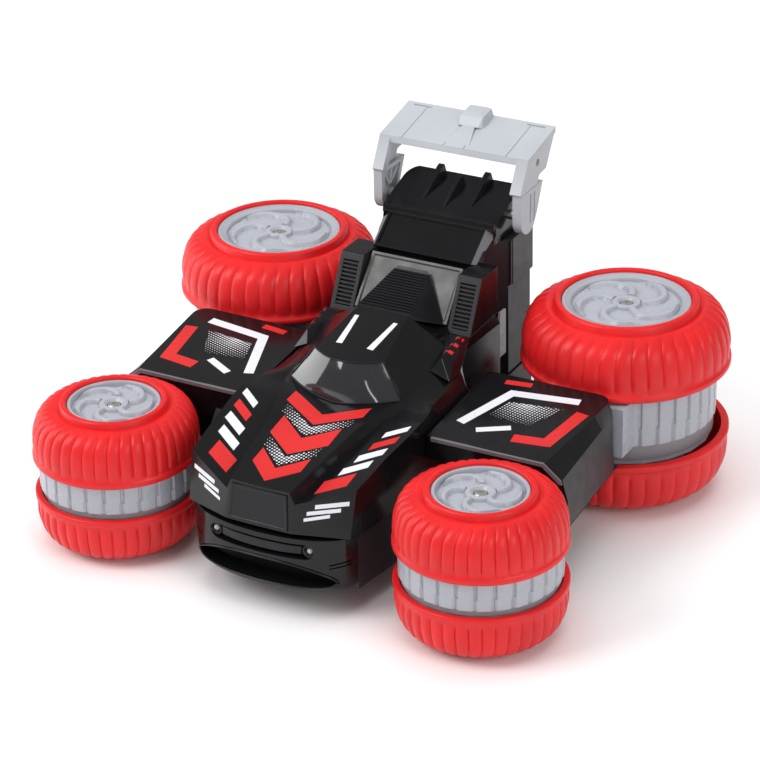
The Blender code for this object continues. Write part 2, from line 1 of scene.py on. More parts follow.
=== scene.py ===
"""Looks of the transforming stunt car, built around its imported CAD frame."""
import math

import bmesh
import bpy
from mathutils import Matrix, Vector
from mathutils.bvhtree import BVHTree
from mathutils.geometry import delaunay_2d_cdt


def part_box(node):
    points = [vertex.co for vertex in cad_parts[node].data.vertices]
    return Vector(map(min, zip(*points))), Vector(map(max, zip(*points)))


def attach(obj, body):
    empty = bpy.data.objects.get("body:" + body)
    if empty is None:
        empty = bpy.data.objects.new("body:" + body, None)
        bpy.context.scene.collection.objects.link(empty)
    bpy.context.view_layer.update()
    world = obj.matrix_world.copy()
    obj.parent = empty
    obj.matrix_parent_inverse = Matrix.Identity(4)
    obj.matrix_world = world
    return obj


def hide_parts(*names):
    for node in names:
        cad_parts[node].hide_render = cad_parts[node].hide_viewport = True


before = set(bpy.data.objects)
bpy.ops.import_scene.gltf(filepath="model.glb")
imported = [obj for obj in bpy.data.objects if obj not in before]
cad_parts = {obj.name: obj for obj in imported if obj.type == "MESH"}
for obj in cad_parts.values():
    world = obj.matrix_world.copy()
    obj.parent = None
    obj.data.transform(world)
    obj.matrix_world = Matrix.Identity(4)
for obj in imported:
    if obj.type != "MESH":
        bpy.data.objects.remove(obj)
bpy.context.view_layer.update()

MM = 0.001
SIDES = (("left", -1), ("right", 1))
ENDS = ("front", "rear")

# Number of ribs, pleats and spokes, and how finely the round pieces are divided.
TYRE_RIBS = 40
STEPS_PER_RIB = 8
DRUM_PLEATS = {"front": 27, "rear": 32}
STEPS_PER_PLEAT = 12
HUB_ARMS = 5
ROUND_STEPS = 180

# Bead ring as a share of the tyre's radius, width of the hub's rim, and lower end of the drum's pleats.
BEAD_SHARE = {"front": 0.64, "rear": 0.683}
HUB_RIM = {"front": 1.7 * MM, "rear": 4.0 * MM}
DRUM_FOOT = {"front": -5.2 * MM, "rear": -8.5 * MM}
HUB_TURN = {"front": math.radians(40.0), "rear": math.radians(26.0)}

# Linear colours.
BLACK = (0.006, 0.006, 0.007)
CHARCOAL = (0.018, 0.018, 0.0205)
WARM_GREY = (0.046, 0.045, 0.0435)
RED = (0.68, 0.014, 0.016)
PRINT_RED = (0.62, 0.026, 0.026)
PRINT_WHITE = (0.72, 0.73, 0.77)
LIGHT_GREY = (0.385, 0.40, 0.445)
PALE_GREY = (0.43, 0.45, 0.485)

DOT_PITCH = 1.45 * MM               # spacing of the dots in the printed fades


# ------------------------------------------------------------------ materials

def shader_nodes(name):
    """A new material's tree, its Principled shader and its object coordinates."""
    made = bpy.data.materials.new(name)
    made.use_nodes = True
    tree = made.node_tree
    shader = tree.nodes["Principled BSDF"]
    place = tree.nodes.new("ShaderNodeTexCoord").outputs["Object"]
    return made, tree, shader, place


def noise(tree, place, scale, detail=3.0, stretch=(1, 1, 1)):
    """Noise whose scale is in features per metre, stretched along an axis if asked."""
    mapping = tree.nodes.new("ShaderNodeMapping")
    mapping.inputs["Scale"].default_value = stretch
    tree.links.new(place, mapping.inputs["Vector"])
    texture = tree.nodes.new("ShaderNodeTexNoise")
    texture.inputs["Scale"].default_value = scale
    texture.inputs["Detail"].default_value = detail
    tree.links.new(mapping.outputs["Vector"], texture.inputs["Vector"])
    return texture.outputs["Fac"]


def spread(tree, value, low, high):
    """The middle part of a noise, mapped to the range from low to high."""
    ranged = tree.nodes.new("ShaderNodeMapRange")
    ranged.inputs["From Min"].default_value = 0.3
    ranged.inputs["From Max"].default_value = 0.7
    ranged.inputs["To Min"].default_value = low
    ranged.inputs["To Max"].default_value = high
    tree.links.new(value, ranged.inputs["Value"])
    return ranged.outputs["Result"]


def tinted(tree, colour, value, change):
    """The colour, from a little darker to a little lighter as the value goes from 0 to 1."""
    mixed = tree.nodes.new("ShaderNodeMix")
    mixed.data_type = "RGBA"
    mixed.inputs["A"].default_value = (*[part * (1 - change) for part in colour], 1)
    mixed.inputs["B"].default_value = (*[min(1.0, part * (1 + change)) for part in colour], 1)
    tree.links.new(value, mixed.inputs["Factor"])
    return mixed.outputs["Result"]


def bumped(tree, shader, height, depth, strength=1.0):
    bump = tree.nodes.new("ShaderNodeBump")
    bump.inputs["Distance"].default_value = depth
    bump.inputs["Strength"].default_value = strength
    tree.links.new(height, bump.inputs["Height"])
    tree.links.new(bump.outputs["Normal"], shader.inputs["Normal"])


def moulded(name, colour, roughness, variation=0.05, grain=0.00001, grain_scale=2600, tint=0.06, sheen=0.5,
            gloss_detail=5.0):
    """Injection-moulded plastic: cloudy colour, uneven gloss and a fine skin."""
    made, tree, shader, place = shader_nodes(name)
    cloud = spread(tree, noise(tree, place, 45, min(3.0, gloss_detail)), 0.0, 1.0)
    tree.links.new(tinted(tree, colour, cloud, tint), shader.inputs["Base Color"])
    gloss = spread(tree, noise(tree, place, 140, gloss_detail), roughness - variation, roughness + variation)
    tree.links.new(gloss, shader.inputs["Roughness"])
    bumped(tree, shader, noise(tree, place, grain_scale, 2.0), grain)
    shader.inputs["Specular IOR Level"].default_value = sheen
    return made


def rubber(name, colour):
    """Soft red rubber with mould bloom, fine grain and a little light passing through."""
    made = moulded(name, colour, 0.40, 0.08, 0.00003, 1500, 0.10, sheen=0.35)
    shader = made.node_tree.nodes["Principled BSDF"]
    shader.inputs["Subsurface Weight"].default_value = 0.12
    shader.inputs["Subsurface Radius"].default_value = (1.0, 0.25, 0.15)
    shader.inputs["Subsurface Scale"].default_value = 0.003
    return made


def brushed_steel(name):
    made, tree, shader, place = shader_nodes(name)
    lines = noise(tree, place, 900, 2.0, (1, 14, 14))
    tree.links.new(tinted(tree, (0.84, 0.82, 0.78), lines, 0.15), shader.inputs["Base Color"])
    tree.links.new(spread(tree, lines, 0.26, 0.42), shader.inputs["Roughness"])
    shader.inputs["Metallic"].default_value = 1.0
    bumped(tree, shader, lines, 0.00001)
    return made


def smoked(name):
    """Dark glossy screen with faint streaks left by the mould."""
    made, tree, shader, place = shader_nodes(name)
    streak = noise(tree, place, 60, 4.0, (1, 5, 1))
    tree.links.new(tinted(tree, (0.016, 0.017, 0.021), streak, 0.35), shader.inputs["Base Color"])
    tree.links.new(spread(tree, streak, 0.05, 0.11), shader.inputs["Roughness"])
    shader.inputs["Coat Weight"].default_value = 0.8
    shader.inputs["Coat Roughness"].default_value = 0.03
    bumped(tree, shader, noise(tree, place, 30, 1.0), 0.0001, 0.4)
    return made


def clear_lens(name):
    made, tree, shader, place = shader_nodes(name)
    facets = tree.nodes.new("ShaderNodeTexVoronoi")
    facets.inputs["Scale"].default_value = 900
    tree.links.new(place, facets.inputs["Vector"])
    tree.links.new(tinted(tree, (0.62, 0.63, 0.62), facets.outputs["Distance"], 0.3), shader.inputs["Base Color"])
    tree.links.new(spread(tree, noise(tree, place, 400), 0.05, 0.12), shader.inputs["Roughness"])
    shader.inputs["Transmission Weight"].default_value = 0.35
    bumped(tree, shader, facets.outputs["Distance"], 0.0002)
    return made


def halftone(name, pitch, centre, reach, angle=0.28):
    """Black print with white dots that shrink away from a centre line.

    pitch is the dots' spacing, centre the point where they are largest and reach
    the distance, in each direction, at which they have faded away.
    """
    made, tree, shader, place = shader_nodes(name)
    turn = tree.nodes.new("ShaderNodeMapping")
    turn.vector_type = "POINT"
    turn.inputs["Rotation"].default_value = (0, 0, angle)
    turn.inputs["Scale"].default_value = (2 * math.pi / pitch,) * 3
    tree.links.new(place, turn.inputs["Vector"])
    axes = tree.nodes.new("ShaderNodeSeparateXYZ")
    tree.links.new(turn.outputs["Vector"], axes.inputs["Vector"])
    waves = []
    for axis in ("X", "Y"):
        wave = tree.nodes.new("ShaderNodeMath")
        wave.operation = "COSINE"
        tree.links.new(axes.outputs[axis], wave.inputs[0])
        waves.append(wave.outputs[0])
    grid = tree.nodes.new("ShaderNodeMath")
    grid.operation = "ADD"
    tree.links.new(waves[0], grid.inputs[0])
    tree.links.new(waves[1], grid.inputs[1])
    fade = tree.nodes.new("ShaderNodeMapping")
    fade.vector_type = "TEXTURE"
    fade.inputs["Location"].default_value = centre
    fade.inputs["Scale"].default_value = reach
    tree.links.new(place, fade.inputs["Vector"])
    length = tree.nodes.new("ShaderNodeVectorMath")
    length.operation = "LENGTH"
    tree.links.new(fade.outputs["Vector"], length.inputs[0])
    level = tree.nodes.new("ShaderNodeMapRange")
    level.inputs["From Min"].default_value = 0.0
    level.inputs["From Max"].default_value = 1.0
    level.inputs["To Min"].default_value = 0.3
    level.inputs["To Max"].default_value = -2.0
    tree.links.new(length.outputs["Value"], level.inputs["Value"])
    total = tree.nodes.new("ShaderNodeMath")
    total.operation = "ADD"
    tree.links.new(grid.outputs[0], total.inputs[0])
    tree.links.new(level.outputs["Result"], total.inputs[1])
    dots = tree.nodes.new("ShaderNodeMapRange")
    dots.inputs["From Min"].default_value = -0.2
    dots.inputs["From Max"].default_value = 0.2
    tree.links.new(total.outputs[0], dots.inputs["Value"])
    mixed = tree.nodes.new("ShaderNodeMix")
    mixed.data_type = "RGBA"
    mixed.inputs["A"].default_value = (*BLACK, 1)
    mixed.inputs["B"].default_value = (*PRINT_WHITE, 1)
    tree.links.new(dots.outputs["Result"], mixed.inputs["Factor"])
    tree.links.new(mixed.outputs["Result"], shader.inputs["Base Color"])
    tree.links.new(spread(tree, noise(tree, place, 200), 0.2, 0.3), shader.inputs["Roughness"])
    return made


FINISH = {
    "gloss_black": moulded("gloss_black", BLACK, 0.17, 0.05, 0.000006, 1200, 0.2, sheen=0.32),
    "satin_charcoal": moulded("satin_charcoal", CHARCOAL, 0.42, 0.06, 0.00002, 2600, 0.10, sheen=0.35),
    "satin_black": moulded("satin_black", (0.009, 0.009, 0.011), 0.34, 0.06, 0.00002, 2600, 0.15, sheen=0.3),
    "warm_grey": moulded("warm_grey", WARM_GREY, 0.36, 0.08, 0.00001, 1600, 0.12),
    "smoked_clear": smoked("smoked_clear"),
    "tyre_red": rubber("tyre_red", RED),
    "light_grey": moulded("light_grey", LIGHT_GREY, 0.28, 0.02, 0.0000005, 2600, 0.015, gloss_detail=0.0),
    # drum_shade_grey paints the shade on the drums' smooth foot below the pleats.
    "drum_shade_grey": moulded("drum_shade_grey", (0.22, 0.22, 0.235), 0.42, 0.06, 0.00002, 2200, 0.08),
    # highlight_grey paints highlights: the strips on the wings' front edges and the deck's right cheek bevel.
    "highlight_grey": moulded("highlight_grey", (0.13, 0.13, 0.14), 0.30, 0.06, 0.00001, 2200, 0.06),
    "pale_grey": moulded("pale_grey", PALE_GREY, 0.40, 0.06, 0.00002, 2600, 0.04),
    "steel": brushed_steel("steel"),
    "lens": clear_lens("lens"),
    "board_green": moulded("board_green", (0.02, 0.16, 0.07), 0.45, 0.1, 0.00002, 900, 0.3),
    "cell_blue": moulded("cell_blue", (0.03, 0.10, 0.35), 0.35, 0.08, 0.00002, 1200, 0.1),
    "print_red": moulded("print_red", PRINT_RED, 0.30, 0.05, 0.000004, 1600, 0.05, sheen=0.25),
    "print_white": moulded("print_white", PRINT_WHITE, 0.30, 0.05, 0.000004, 1600, 0.03, sheen=0.25),
    "fade_upper": halftone("fade_upper", DOT_PITCH, Vector((0, -58, 65)) * MM, Vector((20, 16, 60)) * MM),
    "fade_lower": halftone("fade_lower", DOT_PITCH, Vector((0, -80, 58)) * MM, Vector((16, 16, 60)) * MM),
    "fade_right": halftone("fade_right", DOT_PITCH, Vector((72, 0, 64)) * MM, Vector((22, 17, 60)) * MM),
    "fade_left": halftone("fade_left", DOT_PITCH, Vector((-72, 0, 64)) * MM, Vector((22, 17, 60)) * MM),
}


# ------------------------------------------------------------------ mesh helpers

def as_piece(name, mesh, finish, body, slot=None, replaces=(), place=(0, 0, 0), turn=(0, 0, 0)):
    """A finished piece at its place, riding on its body."""
    thing = bpy.data.objects.new(name, mesh)
    thing.location = place
    thing.rotation_euler = turn
    bpy.context.scene.collection.objects.link(thing)
    if not mesh.materials:
        mesh.materials.append(FINISH[finish])
    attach(thing, body)
    if replaces:
        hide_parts(*replaces)
    return thing


def to_mesh(name, bm, sharp=32.0):
    """A bmesh as a smooth-shaded mesh that keeps its edges over the given angle sharp."""
    bmesh.ops.recalc_face_normals(bm, faces=bm.faces)
    mesh = bpy.data.meshes.new(name)
    bm.to_mesh(mesh)
    bm.free()
    mesh.shade_smooth()
    mesh.set_sharp_from_angle(angle=math.radians(sharp))
    return mesh


def rounded(thing, width, segments=3, angle=30.0):
    modifier = thing.modifiers.new("Edges", "BEVEL")
    modifier.width = width
    modifier.segments = segments
    modifier.limit_method = "ANGLE"
    modifier.angle_limit = math.radians(angle)
    modifier.harden_normals = True
    return thing


def ring_mesh(name, profile, steps, shape, sharp=40.0):
    """A closed (radius, height) outline turned about Z; shape(index, angle, radius, height) may move a point."""
    bm = bmesh.new()
    columns = []
    for step in range(steps):
        angle = 2 * math.pi * step / steps
        column = []
        for index, (radius, height) in enumerate(profile):
            radius, height, extra = shape(index, angle, radius, height)
            column.append(bm.verts.new((radius * math.cos(angle + extra), radius * math.sin(angle + extra), height)))
        columns.append(column)
    count = len(profile)
    for step in range(steps):
        here, after = columns[step], columns[(step + 1) % steps]
        for index in range(count):
            up = (index + 1) % count
            bm.faces.new((here[index], after[index], after[up], here[up]))
    return to_mesh(name, bm, sharp)


def smooth_line(points, steps):
    """Catmull-Rom curve through points of any dimension, with some steps in each stretch."""
    line = []
    for index in range(len(points) - 1):
        quad = [Vector(points[max(0, min(len(points) - 1, index + offset))]) for offset in (-1, 0, 1, 2)]
        for step in range(steps):
            t = step / steps
            weights = (-t ** 3 + 2 * t ** 2 - t, 3 * t ** 3 - 5 * t ** 2 + 2,
                       -3 * t ** 3 + 4 * t ** 2 + t, t ** 3 - t ** 2)
            line.append(sum((point * weight / 2 for point, weight in zip(quad, weights)), Vector([0.0] * len(quad[0]))))
    line.append(Vector(points[-1]))
    return line


def smoothstep(low, high, value):
    share = max(0.0, min(1.0, (value - low) / (high - low)))
    return share * share * (3 - 2 * share)


def prism(outline, axis, low, high):
    """A flat outline in millimetres, extruded along an axis from low to high millimetres."""
    bm = bmesh.new()
    order = {"X": lambda a, b: (low, a, b), "Y": lambda a, b: (a, low, b), "Z": lambda a, b: (a, b, low)}[axis]
    face = bm.faces.new([bm.verts.new(Vector(order(a, b)) * MM) for a, b in outline])
    grown = bmesh.ops.extrude_face_region(bm, geom=[face])
    moved = [item for item in grown["geom"] if isinstance(item, bmesh.types.BMVert)]
    step = Vector([(high - low) * MM if letter == axis else 0.0 for letter in "XYZ"])
    bmesh.ops.translate(bm, vec=step, verts=moved)
    return bm


def hull(points):
    bm = bmesh.new()
    for point in points:
        bm.verts.new(Vector(point) * MM)
    bmesh.ops.convex_hull(bm, input=bm.verts)
    bmesh.ops.dissolve_limit(bm, angle_limit=math.radians(1.0), verts=bm.verts, edges=bm.edges)
    return bm


def mirrored(points):
    return list(points) + [(-point[0], *point[1:]) for point in points]


def ring_outline(half):
    """A closed outline symmetric about its first number, from its positive half."""
    return list(half) + [(-a, b) for a, b in reversed(half) if abs(a) > 1e-9]


def cut(thing, bm, operation="DIFFERENCE"):
    """Cuts a shape out of a piece, or joins it on, and applies the result."""
    bmesh.ops.recalc_face_normals(bm, faces=bm.faces)
    mesh = bpy.data.meshes.new("operand")
    bm.to_mesh(mesh)
    bm.free()
    operand = bpy.data.objects.new("operand", mesh)
    bpy.context.scene.collection.objects.link(operand)
    modifier = thing.modifiers.new("Cut", "BOOLEAN")
    modifier.operation = operation
    modifier.object = operand
    modifier.solver = "EXACT"
    apply_modifiers(thing)
    bpy.data.objects.remove(operand)
    bpy.data.meshes.remove(mesh)


def apply_modifiers(thing):
    graph = bpy.context.evaluated_depsgraph_get()
    made = bpy.data.meshes.new_from_object(thing.evaluated_get(graph), depsgraph=graph)
    thing.modifiers.clear()
    old = thing.data
    thing.data = made
    bpy.data.meshes.remove(old)


# ------------------------------------------------------------------ wheel pods

def pod_sizes(end):
    """Radius, half height, lip height, hub radius and drum radius of a pod, read from the frame."""
    tyre_low, tyre_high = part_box(f"tyre_upper_{end}_right")
    hub_low, hub_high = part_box(f"hub_upper_{end}_right")
    centre = (tyre_low + tyre_high) / 2
    case_low, case_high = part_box(f"gearcase_{end}_right")
    middle = (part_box(f"tyre_lower_{end}_right")[0].z + tyre_high.z) / 2
    centre.z = middle
    return {
        "centre": centre,
        "radius": (tyre_high.x - tyre_low.x) / 2,
        "top": tyre_high.z - middle,
        "lip": tyre_low.z - middle,
        "hub": (hub_high.x - hub_low.x) / 2,
        "drum": (case_high.x - case_low.x) / 2,
    }


def tyre_line(end, size):
    """Closed outline of a tyre: bead ring, shoulder, tread, lip and the inner wall."""
    radius, top, lip, hub = size["radius"], size["top"], size["lip"], size["hub"]
    rise = top - lip
    bore = hub + 0.3 * MM
    bead_out = BEAD_SHARE[end] * radius
    bead = [(bore, top - 3.2 * MM), (bore, top - 0.8 * MM), (bore + 0.3 * MM, top - 0.3 * MM),
            (bore + 0.9 * MM, top), (bead_out - 1.0 * MM, top), (bead_out - 0.3 * MM, top - 0.3 * MM),
            (bead_out, top - 1.0 * MM)]
    start = BEAD_SHARE[end] + 0.015
    tread = [(start, 0.885), ((start + 0.80) / 2, 0.905), (0.80, 0.875), (0.87, 0.81), (0.93, 0.70), (0.972, 0.53),
             (0.99, 0.35), (0.982, 0.17)]
    curve = smooth_line([(part * radius, lip + share * rise) for part, share in tread], 4)
    flange = [(0.985 * radius, lip + 3.0 * MM), (radius - 0.4 * MM, lip + 2.8 * MM), (radius, lip + 2.2 * MM),
              (radius, lip + 0.6 * MM), (radius - 0.5 * MM, lip), (0.925 * radius, lip)]
    inner = [(0.88 * radius, lip + 0.52 * rise), (0.72 * radius, lip + 0.80 * rise)]
    line = bead + [tuple(point) for point in curve] + flange + inner
    ribbed = range(len(bead), len(bead) + len(curve))
    return line, ribbed


def tyre_mesh(end, size):
    """Red tyre with convex paddle ribs and narrow valleys from the shoulder down to the lip."""
    line, ribbed = tyre_line(end, size)
    count = len(ribbed)
    depth = 1.05 * MM

    def shape(index, angle, radius, height):
        if index not in ribbed:
            return radius, height, 0.0
        share = (index - ribbed[0]) / (count - 1)
        sweep = 2 * math.pi / TYRE_RIBS * 0.45 * (1 - smoothstep(0.0, 0.7, share))
        phase = (angle * TYRE_RIBS / (2 * math.pi)) % 1.0
        ridge = math.sin(math.pi * phase ** 0.8) ** 0.5 if phase > 0 else 0.0
        strength = smoothstep(0.10, 0.45, share) * (1 - 0.4 * smoothstep(0.9, 1.0, share))
        drop = depth * (1 - ridge) * strength
        lean = 0.8 * (1 - smoothstep(0.2, 0.8, share))
        return radius - drop * (1 - 0.6 * lean), height - drop * lean, sweep

    return ring_mesh(f"tyre_{end}", line, TYRE_RIBS * STEPS_PER_RIB, shape, 60.0)


def hub_mesh(end, size):
    """Dished hub with a rim, curved arms that hug the rim at their ends, and a raised boss for the screw."""
    radius, top = size["hub"], size["top"]
    disc = top - 3.6 * MM
    rim_width = HUB_RIM[end]
    rim_top = top - 1.3 * MM
    groove = radius - rim_width
    rim = [(radius, disc - 2.4 * MM), (radius, rim_top - 0.3 * MM), (radius - 0.3 * MM, rim_top),
           (radius - 1.3 * MM, rim_top), (radius - 1.6 * MM, rim_top - 0.4 * MM)]
    if rim_width > 2.5 * MM:
        rim += [(groove + 0.3 * MM, rim_top - 0.8 * MM)]
    rim += [(groove, rim_top - 1.2 * MM), (groove - 0.2 * MM, disc - 0.4 * MM), (groove - 0.9 * MM, disc - 0.4 * MM)]
    boss = 6.4 * MM
    arm_in, arm_out = boss + 0.2 * MM, groove - 1.1 * MM
    lanes = 30
    floor = [(arm_out + (arm_in - arm_out) * step / lanes, disc) for step in range(lanes + 1)]
    middle = [(boss, disc + 0.6 * MM), (boss - 0.1 * MM, disc + 1.4 * MM), (boss - 0.6 * MM, disc + 1.8 * MM),
              (boss - 2.0 * MM, disc + 1.8 * MM), (boss - 2.5 * MM, disc + 1.5 * MM), (3.6 * MM, disc + 1.0 * MM),
              (3.1 * MM, disc + 0.6 * MM), (3.1 * MM, disc - 1.4 * MM), (1.6 * MM, disc - 1.5 * MM)]
    under = [(1.6 * MM, disc - 7.0 * MM), (5.2 * MM, disc - 7.0 * MM), (5.2 * MM, disc - 2.4 * MM)]
    line = rim + floor + middle + under
    lane_range = range(len(rim), len(rim) + len(floor))
    sweep = math.radians(62.0)
    half_width = 1.45 * MM if end == "front" else 1.9 * MM

    def shape(index, angle, r, height):
        if index not in lane_range:
            return r, height, 0.0
        share = max(0.0, min(1.0, (r - arm_in) / (arm_out - arm_in)))
        centre_angle = sweep * share ** 2.6
        turn = 2 * math.pi / HUB_ARMS
        nearest = min((abs((angle - centre_angle - turn * arm + math.pi) % (2 * math.pi) - math.pi) * r
                       for arm in range(HUB_ARMS)))
        slope = sweep * 2.6 * share ** 1.6 * r / (arm_out - arm_in)
        across = nearest / math.sqrt(1.0 + slope * slope)
        ridge = max(0.0, 1.0 - (across / half_width) ** 4) ** 0.5
        ends = 1 - smoothstep(0.93, 1.0, share)
        return r, height + 2.1 * MM * ridge * ends, 0.0

    return ring_mesh(f"hub_{end}", line, ROUND_STEPS, shape, 50.0)


def drum_mesh(end, size):
    """Band of wide pleats round the drum, in two halves that meet at a seam, over a smooth foot painted darker as
    shade.
    """
    wall = size["drum"] + 0.1 * MM
    half = size["lip"] - 0.1 * MM
    depth = 1.1 * MM
    low = DRUM_FOOT[end]
    line = [(wall, -half), (wall + 0.2 * MM, -half), (wall + 0.2 * MM, low - 0.1 * MM), (wall + depth - 0.2 * MM, low),
            (wall + depth, low + 0.3 * MM), (wall + depth, -0.12 * MM), (wall + depth, 0.12 * MM),
            (wall + depth, half), (wall, half)]
    outer = range(3, 8)

    def shape(index, angle, radius, height):
        if index not in outer:
            return radius, height, 0.0
        shift = 0.05 if height < 0 else 0.0
        phase = (angle * DRUM_PLEATS[end] / (2 * math.pi) + shift) % 1.0
        land = smoothstep(0.0, 0.09, phase) * (1 - smoothstep(0.84, 0.93, phase))
        slant = 0.22 * phase
        return wall + 0.1 * MM + (radius - wall) * land * (1 - slant), height, 0.0

    mesh = ring_mesh(f"drum_{end}", line, DRUM_PLEATS[end] * STEPS_PER_PLEAT, shape, 25.0)
    mesh.materials.append(FINISH["light_grey"])
    # Painted shade: faces of the smooth foot below the pleats take a darker grey than the pleats.
    mesh.materials.append(FINISH["drum_shade_grey"])
    for polygon in mesh.polygons:
        if polygon.center.z < low:
            polygon.material_index = 1
    return mesh


def screw_mesh(name, top, foot, head=2.7 * MM, sign=1):
    """Screw with a domed head, standing on the Z axis; its cross-shaped recess is not cut here."""
    line = [(0.001 * MM, top - 0.1 * MM), (1.2 * MM, top - 0.12 * MM), (2.1 * MM, top - 0.35 * MM),
            (head, top - 0.9 * MM), (head, top - 1.5 * MM), (1.2 * MM, top - 2.0 * MM), (1.2 * MM, foot),
            (0.001 * MM, foot)]
    mesh = ring_mesh(name, line, 32, lambda index, angle, radius, height: (radius, height, 0.0), 30.0)
    return mesh


def cross_cutter(top, depth=1.3, arm=1.55, width=0.55):
    """Tapered cross for a screw's recess, in millimetres below the given top in metres."""
    shapes = []
    high, low = top / MM + 0.4, top / MM - depth
    for across, along in ((arm, width), (width, arm)):
        corners = [(x * across / 2 * scale, y * along / 2 * scale, z)
                   for z, scale in ((high, 1.2), (low, 0.7)) for x in (-1, 1) for y in (-1, 1)]
        shapes.append(hull(corners))
    return shapes


def build_pods():
    meshes = {}
    for end in ENDS:
        size = pod_sizes(end)
        meshes[end] = {"tyre": tyre_mesh(end, size), "hub": hub_mesh(end, size), "drum": drum_mesh(end, size)}
        for side_name, side in SIDES:
            tag = f"{end}_{side_name}"
            centre = Vector((side * size["centre"].x, size["centre"].y, size["centre"].z))
            for level, flip in (("upper", 0.0), ("lower", math.pi)):
                as_piece(f"ribbed_tyre_{level}_{tag}", meshes[end]["tyre"], "tyre_red", f"wheels_{tag}",
                         replaces=[f"tyre_{level}_{tag}"], place=centre, turn=(flip, 0, 0))
                as_piece(f"spoked_hub_{level}_{tag}", meshes[end]["hub"], "light_grey", f"wheels_{tag}",
                         replaces=[f"hub_{level}_{tag}"], place=centre, turn=(flip, 0, HUB_TURN[end]))
            as_piece(f"drum_pleats_{tag}", meshes[end]["drum"], "light_grey", f"pod_{tag}", place=centre)
            for kind, flip in (("axle_screw", 0.0), ("axle", math.pi)):
                head = size["top"] - 2.1 * MM
                foot = head - 6.0 * MM
                screw = as_piece(f"cross_head_{kind}_{tag}", screw_mesh(f"{kind}_{tag}", head, foot), "steel",
                                 f"wheels_{tag}", place=centre, turn=(flip, 0, 0))
                for cutter in cross_cutter(head):
                    bmesh.ops.transform(cutter, matrix=screw.matrix_world, verts=cutter.verts)
                    cut(screw, cutter)
                if kind == "axle_screw":
                    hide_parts(f"axle_screw_{tag}")


# ------------------------------------------------------------------ body panels

def whole(half):
    """A full row of points from its positive half, which starts on the plane of symmetry."""
    return [(-x, y, z) for x, y, z in reversed(half[1:])] + list(half)


def divided(row, counts):
    """A row with extra points between its corners; counts are the steps in each stretch."""
    points = []
    for start, end, count in zip(row, row[1:], counts):
        for step in range(count):
            points.append(tuple(a + (b - a) * step / count for a, b in zip(start, end)))
    points.append(tuple(row[-1]))
    return points


def along(rows, steps, curved=True):
    """More rows between the given ones, on a smooth curve or straight from row to row."""
    flat = [[value for point in row for value in point] for row in rows]
    if curved:
        line = smooth_line(flat, steps)
    else:
        line = [Vector(a) + (Vector(b) - Vector(a)) * (step / steps)
                for a, b in zip(flat, flat[1:]) for step in range(steps)] + [Vector(flat[-1])]
    return [[tuple(line_row[index:index + 3]) for index in range(0, len(flat[0]), 3)] for line_row in line]


def loft(rows):
    """An open surface through rows of points in millimetres."""
    bm = bmesh.new()
    grid = [[bm.verts.new(Vector(point) * MM) for point in row] for row in rows]
    for row, following in zip(grid, grid[1:]):
        for index in range(len(row) - 1):
            bm.faces.new((row[index], row[index + 1], following[index + 1], following[index]))
    return bm


def panel(name, bm, finish, thickness, body, outward=(0, 0, 1), **options):
    """A sheet of even thickness whose outer face is the open surface given."""
    bmesh.ops.recalc_face_normals(bm, faces=bm.faces)
    if sum((face.normal * face.calc_area() for face in bm.faces), Vector()).dot(Vector(outward)) < 0:
        bmesh.ops.reverse_faces(bm, faces=bm.faces)
    mesh = bpy.data.meshes.new(name)
    bm.to_mesh(mesh)
    bm.free()
    mesh.shade_smooth()
    mesh.set_sharp_from_angle(angle=math.radians(32.0))
    thing = as_piece(name, mesh, finish, body, **options)
    wall = thing.modifiers.new("Wall", "SOLIDIFY")
    wall.thickness = thickness
    wall.offset = -1.0
    wall.use_even_offset = False
    return thing


HOOD_ROWS = [
    [(0, -103.2, 57.4), (13.9, -102.8, 57.5), (16.2, -102.6, 52.6), (39.2, -91.6, 59.4), (40.0, -90.2, 50.0),
     (40.2, -89.6, 38.3)],
    [(0, -86.0, 60.2), (16.2, -86.0, 60.8), (18.4, -86.0, 55.8), (40.4, -80.0, 61.9), (41.2, -80.0, 50.0),
     (41.5, -80.0, 38.3)],
    [(0, -70.0, 62.7), (18.2, -70.0, 63.9), (20.4, -70.0, 59.2), (41.2, -68.0, 64.2), (42.2, -68.0, 50.0),
     (42.6, -68.0, 38.3)],
    [(0, -55.0, 64.9), (20.6, -55.5, 66.8), (22.8, -55.5, 62.4), (42.6, -54.0, 66.2), (43.2, -54.0, 50.0),
     (43.5, -54.0, 38.3)],
    [(0, -42.0, 66.2), (23.4, -42.0, 68.6), (25.6, -42.0, 65.4), (43.0, -43.0, 67.6), (43.5, -43.0, 50.0),
     (43.6, -43.0, 38.3)],
]
NOSE_FOOT = [(0, -105.6, 40.0), (15.0, -105.3, 40.0), (17.0, -104.8, 40.0), (38.6, -97.0, 39.0),
             (38.9, -96.2, 38.7), (39.0, -95.6, 38.3)]
CABIN_ROWS = [
    [(0, -38.8, 66.4), (27.0, -28.8, 68.6), (30.2, -30.0, 66.8), (41.8, -33.4, 67.2), (43.6, -32.0, 53.0),
     (43.6, -32.0, 38.3)],
    [(0, -32.0, 82.9), (16.6, -25.0, 82.9), (27.8, -22.0, 70.8), (38.6, -21.5, 66.6), (43.6, -21.0, 56.0),
     (43.6, -21.0, 38.3)],
    [(0, 5.1, 90.3), (12.3, 5.1, 90.3), (29.8, 5.0, 80.0), (38.6, 4.2, 67.0), (43.6, 4.2, 58.0), (43.6, 4.2, 38.3)],
    [(0, 19.0, 80.6), (11.0, 19.0, 80.4), (23.4, 19.0, 80.6), (30.8, 19.0, 70.0), (30.8, 19.0, 56.0),
     (30.8, 19.0, 38.3)],
    [(0, 57.2, 80.0), (11.0, 57.2, 80.0), (23.4, 57.2, 79.0), (30.8, 57.2, 68.0), (30.8, 57.2, 54.0),
     (30.8, 57.2, 38.3)],
]
ROW_STEPS = (8, 1, 6, 4, 3)

